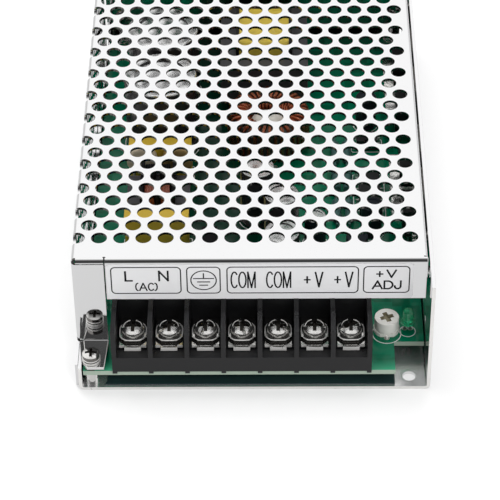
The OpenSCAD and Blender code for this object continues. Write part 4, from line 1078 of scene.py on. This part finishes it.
class TrimmerAndLamp(bpy.types.Operator):
    """Finish the trimmer, the lamp and its leads"""

    bl_idname = "supply.trimmer_and_lamp"
    bl_label = "Trimmer and lamp"

    def execute(self, context):
        plastic = looks("plastic")
        cream = finish("cream moulding", plastic.cream, 0.4, shade=0.06, fine=6000.0, broad=200.0, bump=0.06)
        # The rotor's hollow takes painted shade
        hollow = finish("cream hollow", plastic.hollow, 0.5, shade=0.06, broad=200.0, bump=0.06)
        dress("trimmer_body", cream, plastic.edge)
        dress("trimmer_rotor", [cream, hollow], plastic.edge / 2, choose=drive_faces("trimmer_rotor"))
        dress("lamp_lens", lamp_resin(), sharp=50.0)
        dress("lamp_leads", tinned())
        return {"FINISHED"}


# Points in each turn of the line choke's wire, and the wire's diameter in millimetres
COIL_STEPS = 28
COIL_WIRE = 0.8


def choke_coil(shape, low, high, wire):
    """Wire round a winding's box: a rounded rectangle in Y and Z that moves along X one width each turn."""
    turns = int((high - low)[X] / wire)
    turn = np.linspace(0, 2 * math.pi * turns, turns * COIL_STEPS)
    half = (high - low) / 2 - wire / 2
    y, z = squircle(turn, half[Y], half[Z])
    path = np.stack([np.linspace(-half[X], half[X], len(turn)), y, z], axis=-1) + (low + high) / 2
    shape.wire(path, [1.0, 0, 0], wire / 2)


class InputFilter(bpy.types.Operator):
    """Finish the fuse, surge parts, capacitors and the line choke with its wires"""

    bl_idname = "supply.input_filter"
    bl_label = "Input filter"

    def execute(self, context):
        plastic = looks("plastic")
        dress("fuse_tube", fuse_glass())
        for node in ("fuse_caps", "fuse_clips"):
            dress(node, plated())
        coats = (
            ("varistor", coating("blue coating", plastic.blue, 0.25)),
            ("thermistor", coating("green coating", plastic.dark_green)),
            ("line_capacitors", finish("yellow case", plastic.yellow, 0.3, bump=0.06)),
        )
        for node, coat in coats:
            dress(node, [coat, tinned()], sharp=40.0, choose=outside(Z, low=board_top()))
        discs = [coating("tan coating", plastic.tan), coating("brown coating", plastic.brown)]
        middle = np.mean(box_of("safety_capacitors"), axis=0)[X]
        dress("safety_capacitors", discs, sharp=40.0, choose=outside(X, high=middle))
        dress("line_choke_core", ferrite())
        dress("line_choke_bobbins", inner_black())
        coils = solid_boxes("line_choke_windings")
        middle = np.mean(coils, axis=(0, 1))[Y]
        for place, wire in (("front", dark_enamel()), ("rear", inner_black())):
            wires = Shape()
            for low, high in coils:
                if ((low + high)[Y] / 2 > middle) == (place == "rear"):
                    choke_coil(wires, low, high, COIL_WIRE * MM)
            wires.put(
                f"line_choke_{place}_wire", wire, slot="enamelled_wire", stands_for=["line_choke_windings"]
            )
        return {"FINISHED"}


# Stripes on the sleeves: middle and half width in half turns from +X, for the bulk and the output capacitors
BULK_STRIPE = (0.4, 0.12)
OUTPUT_STRIPE = (-0.95, 0.08)
STRIPE_STEPS = 14
# The stripes' room above the board and below the top, in radii, and their thickness in millimetres
STRIPE_FOOT, STRIPE_HEAD, STRIPE_LIFT = 0.6, 0.16, 0.03


def sleeved_cans(node, name, middle, half):
    """Sleeves with bare tops on a node's cans, and stripes: part of a cylinder just outside each sleeve."""
    sleeve = finish("sleeve", looks("plastic").sleeve, 0.22, shade=0.2, bump=0.02)
    dress(node, [sleeve, can_metal()], sharp=40.0, choose=can_tops(node))
    stripes = Shape()
    turn = np.linspace(middle - half, middle + half, STRIPE_STEPS) * math.pi
    out = level_path(np.stack([np.cos(turn), np.sin(turn)], axis=-1), 0.0)
    for low, high in solid_boxes(node):
        radius, lift = (high - low)[X] / 2, STRIPE_LIFT * MM
        bottom, top = board_top() + radius * STRIPE_FOOT, high[Z] - radius * STRIPE_HEAD
        section = np.array([[0, bottom], [lift, bottom], [lift, top], [0, top]])
        stripes.sweep(radius * out + [*(low + high)[:2] / 2, 0], out, UP, section)
    sleeve_print = finish("sleeve print", looks("plastic").stripe, 0.35, bump=0.0)
    stripes.put(name, sleeve_print, slot="capacitor_sleeve")


# Bare legs of the bridge and of the devices on the wall, and the devices' bare tabs, in millimetres
BRIDGE_LEGS = 2.0
DEVICE_LEGS = 4.5
DEVICE_TAB = 6.3


class PowerStage(bpy.types.Operator):
    """Finish the bulk capacitors, the bridge, the transformer and the power devices"""

    bl_idname = "supply.power_stage"
    bl_label = "Power stage"

    def execute(self, context):
        plastic = looks("plastic")
        top = board_top()
        sleeved_cans("bulk_capacitors", "bulk_capacitor_stripes", *BULK_STRIPE)
        legs = outside(Z, low=top + BRIDGE_LEGS * MM)
        dress("bridge_rectifier", [inner_black(), tinned()], plastic.edge, choose=legs)
        dress("transformer_core", ferrite(), plastic.edge)
        dress("transformer_bobbin", [black_moulding(), tinned()], choose=outside(Z, low=top))
        dress("transformer_winding", finish("yellow tape", plastic.tape, 0.3), sharp=50.0)
        for node in ("output_rectifiers", "power_transistors"):
            bare = outside(Z, top + DEVICE_LEGS * MM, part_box(node)[1].z - DEVICE_TAB * MM)
            dress(node, [black_moulding(), tinned()], choose=bare)
        dress("insulating_pads", finish("pad", plastic.pad, 0.6, bump=0.1))
        return {"FINISHED"}


# The ring choke's turns, points in each turn, wire diameter and bore radius, the last two in millimetres
RING_TURNS = 36
RING_STEPS = 30
RING_WIRE = 1.1
RING_BORE = 6.8


def ring_wire():
    """One wire round the ring: a rounded rectangle in radius and height, while the ring's angle goes on."""
    low, high = box_of("ring_choke_core")
    outer, bore, wire = (high - low)[X] / 2, RING_BORE * MM, RING_WIRE * MM
    around = np.linspace(0, 2 * math.pi, RING_TURNS * RING_STEPS, endpoint=False)
    r, z = squircle(RING_TURNS * around, (outer - bore + wire) / 2, ((high - low)[Z] + wire) / 2)
    out = level_path(np.stack([np.cos(around), np.sin(around)], axis=-1), 0.0)
    path = (low + high) / 2 + out * ((outer + bore) / 2 + r)[:, None] + z[:, None] * UP
    coil = Shape()
    coil.wire(path, np.cross(UP, out), wire / 2, closed=True)
    coil.put("ring_choke_wire", enamel(), slot="enamelled_wire", stands_for=["ring_choke_winding"])


class OutputFilter(bpy.types.Operator):
    """Finish the ring choke with its wire, the sealant and the output capacitors"""

    bl_idname = "supply.output_filter"
    bl_label = "Output filter"

    def execute(self, context):
        plastic = looks("plastic")
        sealant = finish("sealant", plastic.seal, 0.45, bump=0.3, fine=400.0)
        dress("ring_choke_core", finish("ring coating", plastic.ring, 0.4, bump=0.1, fine=2500.0))
        dress("ring_choke_sealant", sealant, sharp=60.0)
        ring_wire()
        sleeved_cans("output_capacitors", "output_capacitor_stripes", *OUTPUT_STRIPE)
        return {"FINISHED"}


# Width of the rows of pins beside the chips, in millimetres
CHIP_PINS = 0.86


class Control(bpy.types.Operator):
    """Finish the chips, the small capacitors and the resistors"""

    bl_idname = "supply.control"
    bl_label = "Control parts"

    def execute(self, context):
        plastic = looks("plastic")
        for node in ("control_chip", "optocoupler"):
            low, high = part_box(node)
            pins = outside(X, low.x + CHIP_PINS * MM, high.x - CHIP_PINS * MM)
            dress(node, [black_moulding(), tinned()], choose=pins)
        tops = can_tops("small_capacitors")
        leftmost = solid_boxes("small_capacitors")[0][1][X]

        def left_top(centres, normals):
            return tops(centres, normals) & (centres[:, X] < leftmost)

        sleeve = finish("small sleeve", plastic.small_sleeve, 0.35, shade=0.15, bump=0.02,
                        Specular_IOR_Level=0.2)
        dress("small_capacitors", [sleeve, can_metal()], sharp=40.0, choose=left_top)
        dress("resistors", finish("resistor body", plastic.body, 0.3, bump=0.04), sharp=40.0)
        return {"FINISHED"}


# Lamps: name, which is also the setting of its power, place and size in metres
LAMPS = (("overhead", (-0.15, 0.35, 0.9), 0.9), ("fill", (0.35, -0.75, 0.75), 0.35))
# The floor's half size, the Y between which its mirror image darkens, and the white share that mirrors see
FLOOR_HALF, FLOOR_FADE, FLOOR_SHARE = 4.0, (-0.24, -0.15), 0.85
# What mirrors see: cosines from the dark patch's middle, X where it ends, and Z where the horizon ends
PATCH_EDGE, PATCH_SIDE, HORIZON_EDGE = (0.1, 0.94), (0.4, 0.65), (0.25, 0.5)
# The camera's sensor in millimetres and its nearest distance in metres
SENSOR, NEAREST = 36.0, 0.01
WHITE = (1.0, 1.0, 1.0, 1.0)


def set_floor(scene, stage):
    """Wide flat sheet under the part, partly plain white to the camera and to mirrors."""
    mesh = bpy.data.meshes.new("floor")
    corners = [(-1, -1, 0), (1, -1, 0), (1, 1, 0), (-1, 1, 0)]
    mesh.from_pydata((np.array(corners) * FLOOR_HALF).tolist(), [], [(0, 1, 2, 3)])
    floor = bpy.data.objects.new("floor", mesh)
    scene.collection.objects.link(floor)
    material, tree, shader = blank("floor")
    join(tree, shader, {"Base Color": opaque(stage.floor), "Roughness": 0.8, "Specular IOR Level": 0.0})
    ray = add_node(tree, "ShaderNodeLightPath").outputs
    seen = maths(tree, "MULTIPLY", ray["Is Camera Ray"], stage.floor_glow)
    seen = maths(tree, "MULTIPLY_ADD", ray["Is Glossy Ray"], FLOOR_SHARE, seen)
    ahead = ramp(tree, split(tree, place_on(tree))["Y"], *FLOOR_FADE, stage.dark, stage.floor_mirrored)
    level = ramp(tree, ray["Is Glossy Ray"], 0.0, 1.0, 1.0, ahead)
    glow = add_node(tree, "ShaderNodeEmission", {"Color": WHITE, "Strength": level})
    mix = add_node(tree, "ShaderNodeMixShader", {0: seen, 1: shader.outputs[0], 2: glow.outputs[0]})
    join(tree, tree.nodes["Material Output"], {"Surface": mix.outputs[0]})
    mesh.materials.append(material)


def set_camera(scene, stage):
    """Camera from its place, turn, tilt and roll."""
    data = bpy.data.cameras.new("camera")
    data.sensor_width = SENSOR
    data.lens = stage.lens
    data.clip_start = NEAREST
    camera = bpy.data.objects.new("camera", data)
    turns = ((-stage.azimuth, "Z"), (math.pi / 2 - stage.elevation, "X"), (-stage.roll, "Z"))
    pose = Matrix.Translation(stage.place)
    for turn, axis in turns:
        pose = pose @ Matrix.Rotation(turn, 4, axis)
    camera.matrix_world = pose
    scene.collection.objects.link(camera)
    scene.camera = camera


def set_surroundings(scene, stage):
    """Even pale light; mirrors see white all round, with a dark patch where the camera stands."""
    world = bpy.data.worlds.new("surroundings")
    world.use_nodes = True
    scene.world = world
    tree = world.node_tree
    ray = add_node(tree, "ShaderNodeLightPath").outputs
    way = place_on(tree, "Generated")
    parts = split(tree, way)
    towards = Vector((0, -math.cos(stage.dark_height), math.sin(stage.dark_height)))
    near = add_node(tree, "ShaderNodeVectorMath", {0: way, 1: towards}, operation="DOT_PRODUCT")
    patch = ramp(
        tree, near.outputs["Value"], *PATCH_EDGE, 1.0, stage.dark, interpolation_type="SMOOTHSTEP"
    )
    aside = ramp(tree, maths(tree, "ABSOLUTE", parts["X"]), *PATCH_SIDE)
    low = ramp(tree, parts["Z"], *HORIZON_EDGE, stage.horizon, 1.0)
    patch = maths(tree, "MULTIPLY", maths(tree, "MAXIMUM", patch, aside), low)
    mirrored = maths(tree, "MAXIMUM", ray["Is Glossy Ray"], ray["Is Transmission Ray"])
    level = mix_values(tree, mirrored, stage.sky, patch)
    level = mix_values(tree, ray["Is Camera Ray"], level, 1.0)
    join(tree, tree.nodes["Background"], {"Color": WHITE, "Strength": level})


def set_lamp(scene, name, place, size, power):
    """Square soft lamp that points at the part and that mirrors don't see."""
    data = bpy.data.lights.new(name, "AREA")
    data.size = size
    data.energy = power
    lamp = bpy.data.objects.new(name, data)
    lamp.location = place
    lamp.rotation_euler = (-Vector(place)).to_track_quat("-Z", "Y").to_euler()
    lamp.visible_glossy = False
    scene.collection.objects.link(lamp)


class Stage(bpy.types.Operator):
    """Set the floor, the lamps, the surroundings and the camera"""

    bl_idname = "supply.stage"
    bl_label = "Stage"

    def execute(self, context):
        stage = looks("stage")
        scene = context.scene
        scene.view_settings.view_transform = "Standard"
        set_floor(scene, stage)
        set_camera(scene, stage)
        set_surroundings(scene, stage)
        for name, place, size in LAMPS:
            set_lamp(scene, name, place, size, getattr(stage, name))
        return {"FINISHED"}


OPERATORS = (
    SheetMetal, Fasteners, TerminalStrip, LabelStrip, Board, TrimmerAndLamp, InputFilter, PowerStage,
    OutputFilter, Control, Stage,
)


class SupplyPanel(bpy.types.Panel):
    """Lists the settings and the pieces"""

    bl_idname = "VIEW3D_PT_supply"
    bl_label = "Power supply"
    bl_space_type = "VIEW_3D"
    bl_region_type = "UI"
    bl_category = "Power supply"

    def draw(self, context):
        for operator in OPERATORS:
            self.layout.operator(operator.bl_idname)
        for group, kind in GROUPS.items():
            box = self.layout.box()
            box.label(text=group.capitalize())
            for key in kind.__annotations__:
                box.prop(looks(group), key)


CLASSES = (*GROUPS.values(), *OPERATORS, SupplyPanel)


def register():
    for one in CLASSES:
        bpy.utils.register_class(one)
    for group, kind in GROUPS.items():
        setattr(bpy.types.Scene, f"{PREFIX}_{group}", PointerProperty(type=kind))


def unregister():
    for group in GROUPS:
        delattr(bpy.types.Scene, f"{PREFIX}_{group}")
    for one in reversed(CLASSES):
        bpy.utils.unregister_class(one)


def main():
    register()
    for operator in OPERATORS:
        family, name = operator.bl_idname.split(".")
        getattr(getattr(bpy.ops, family), name)()


if __name__ == "__main__":
    main()
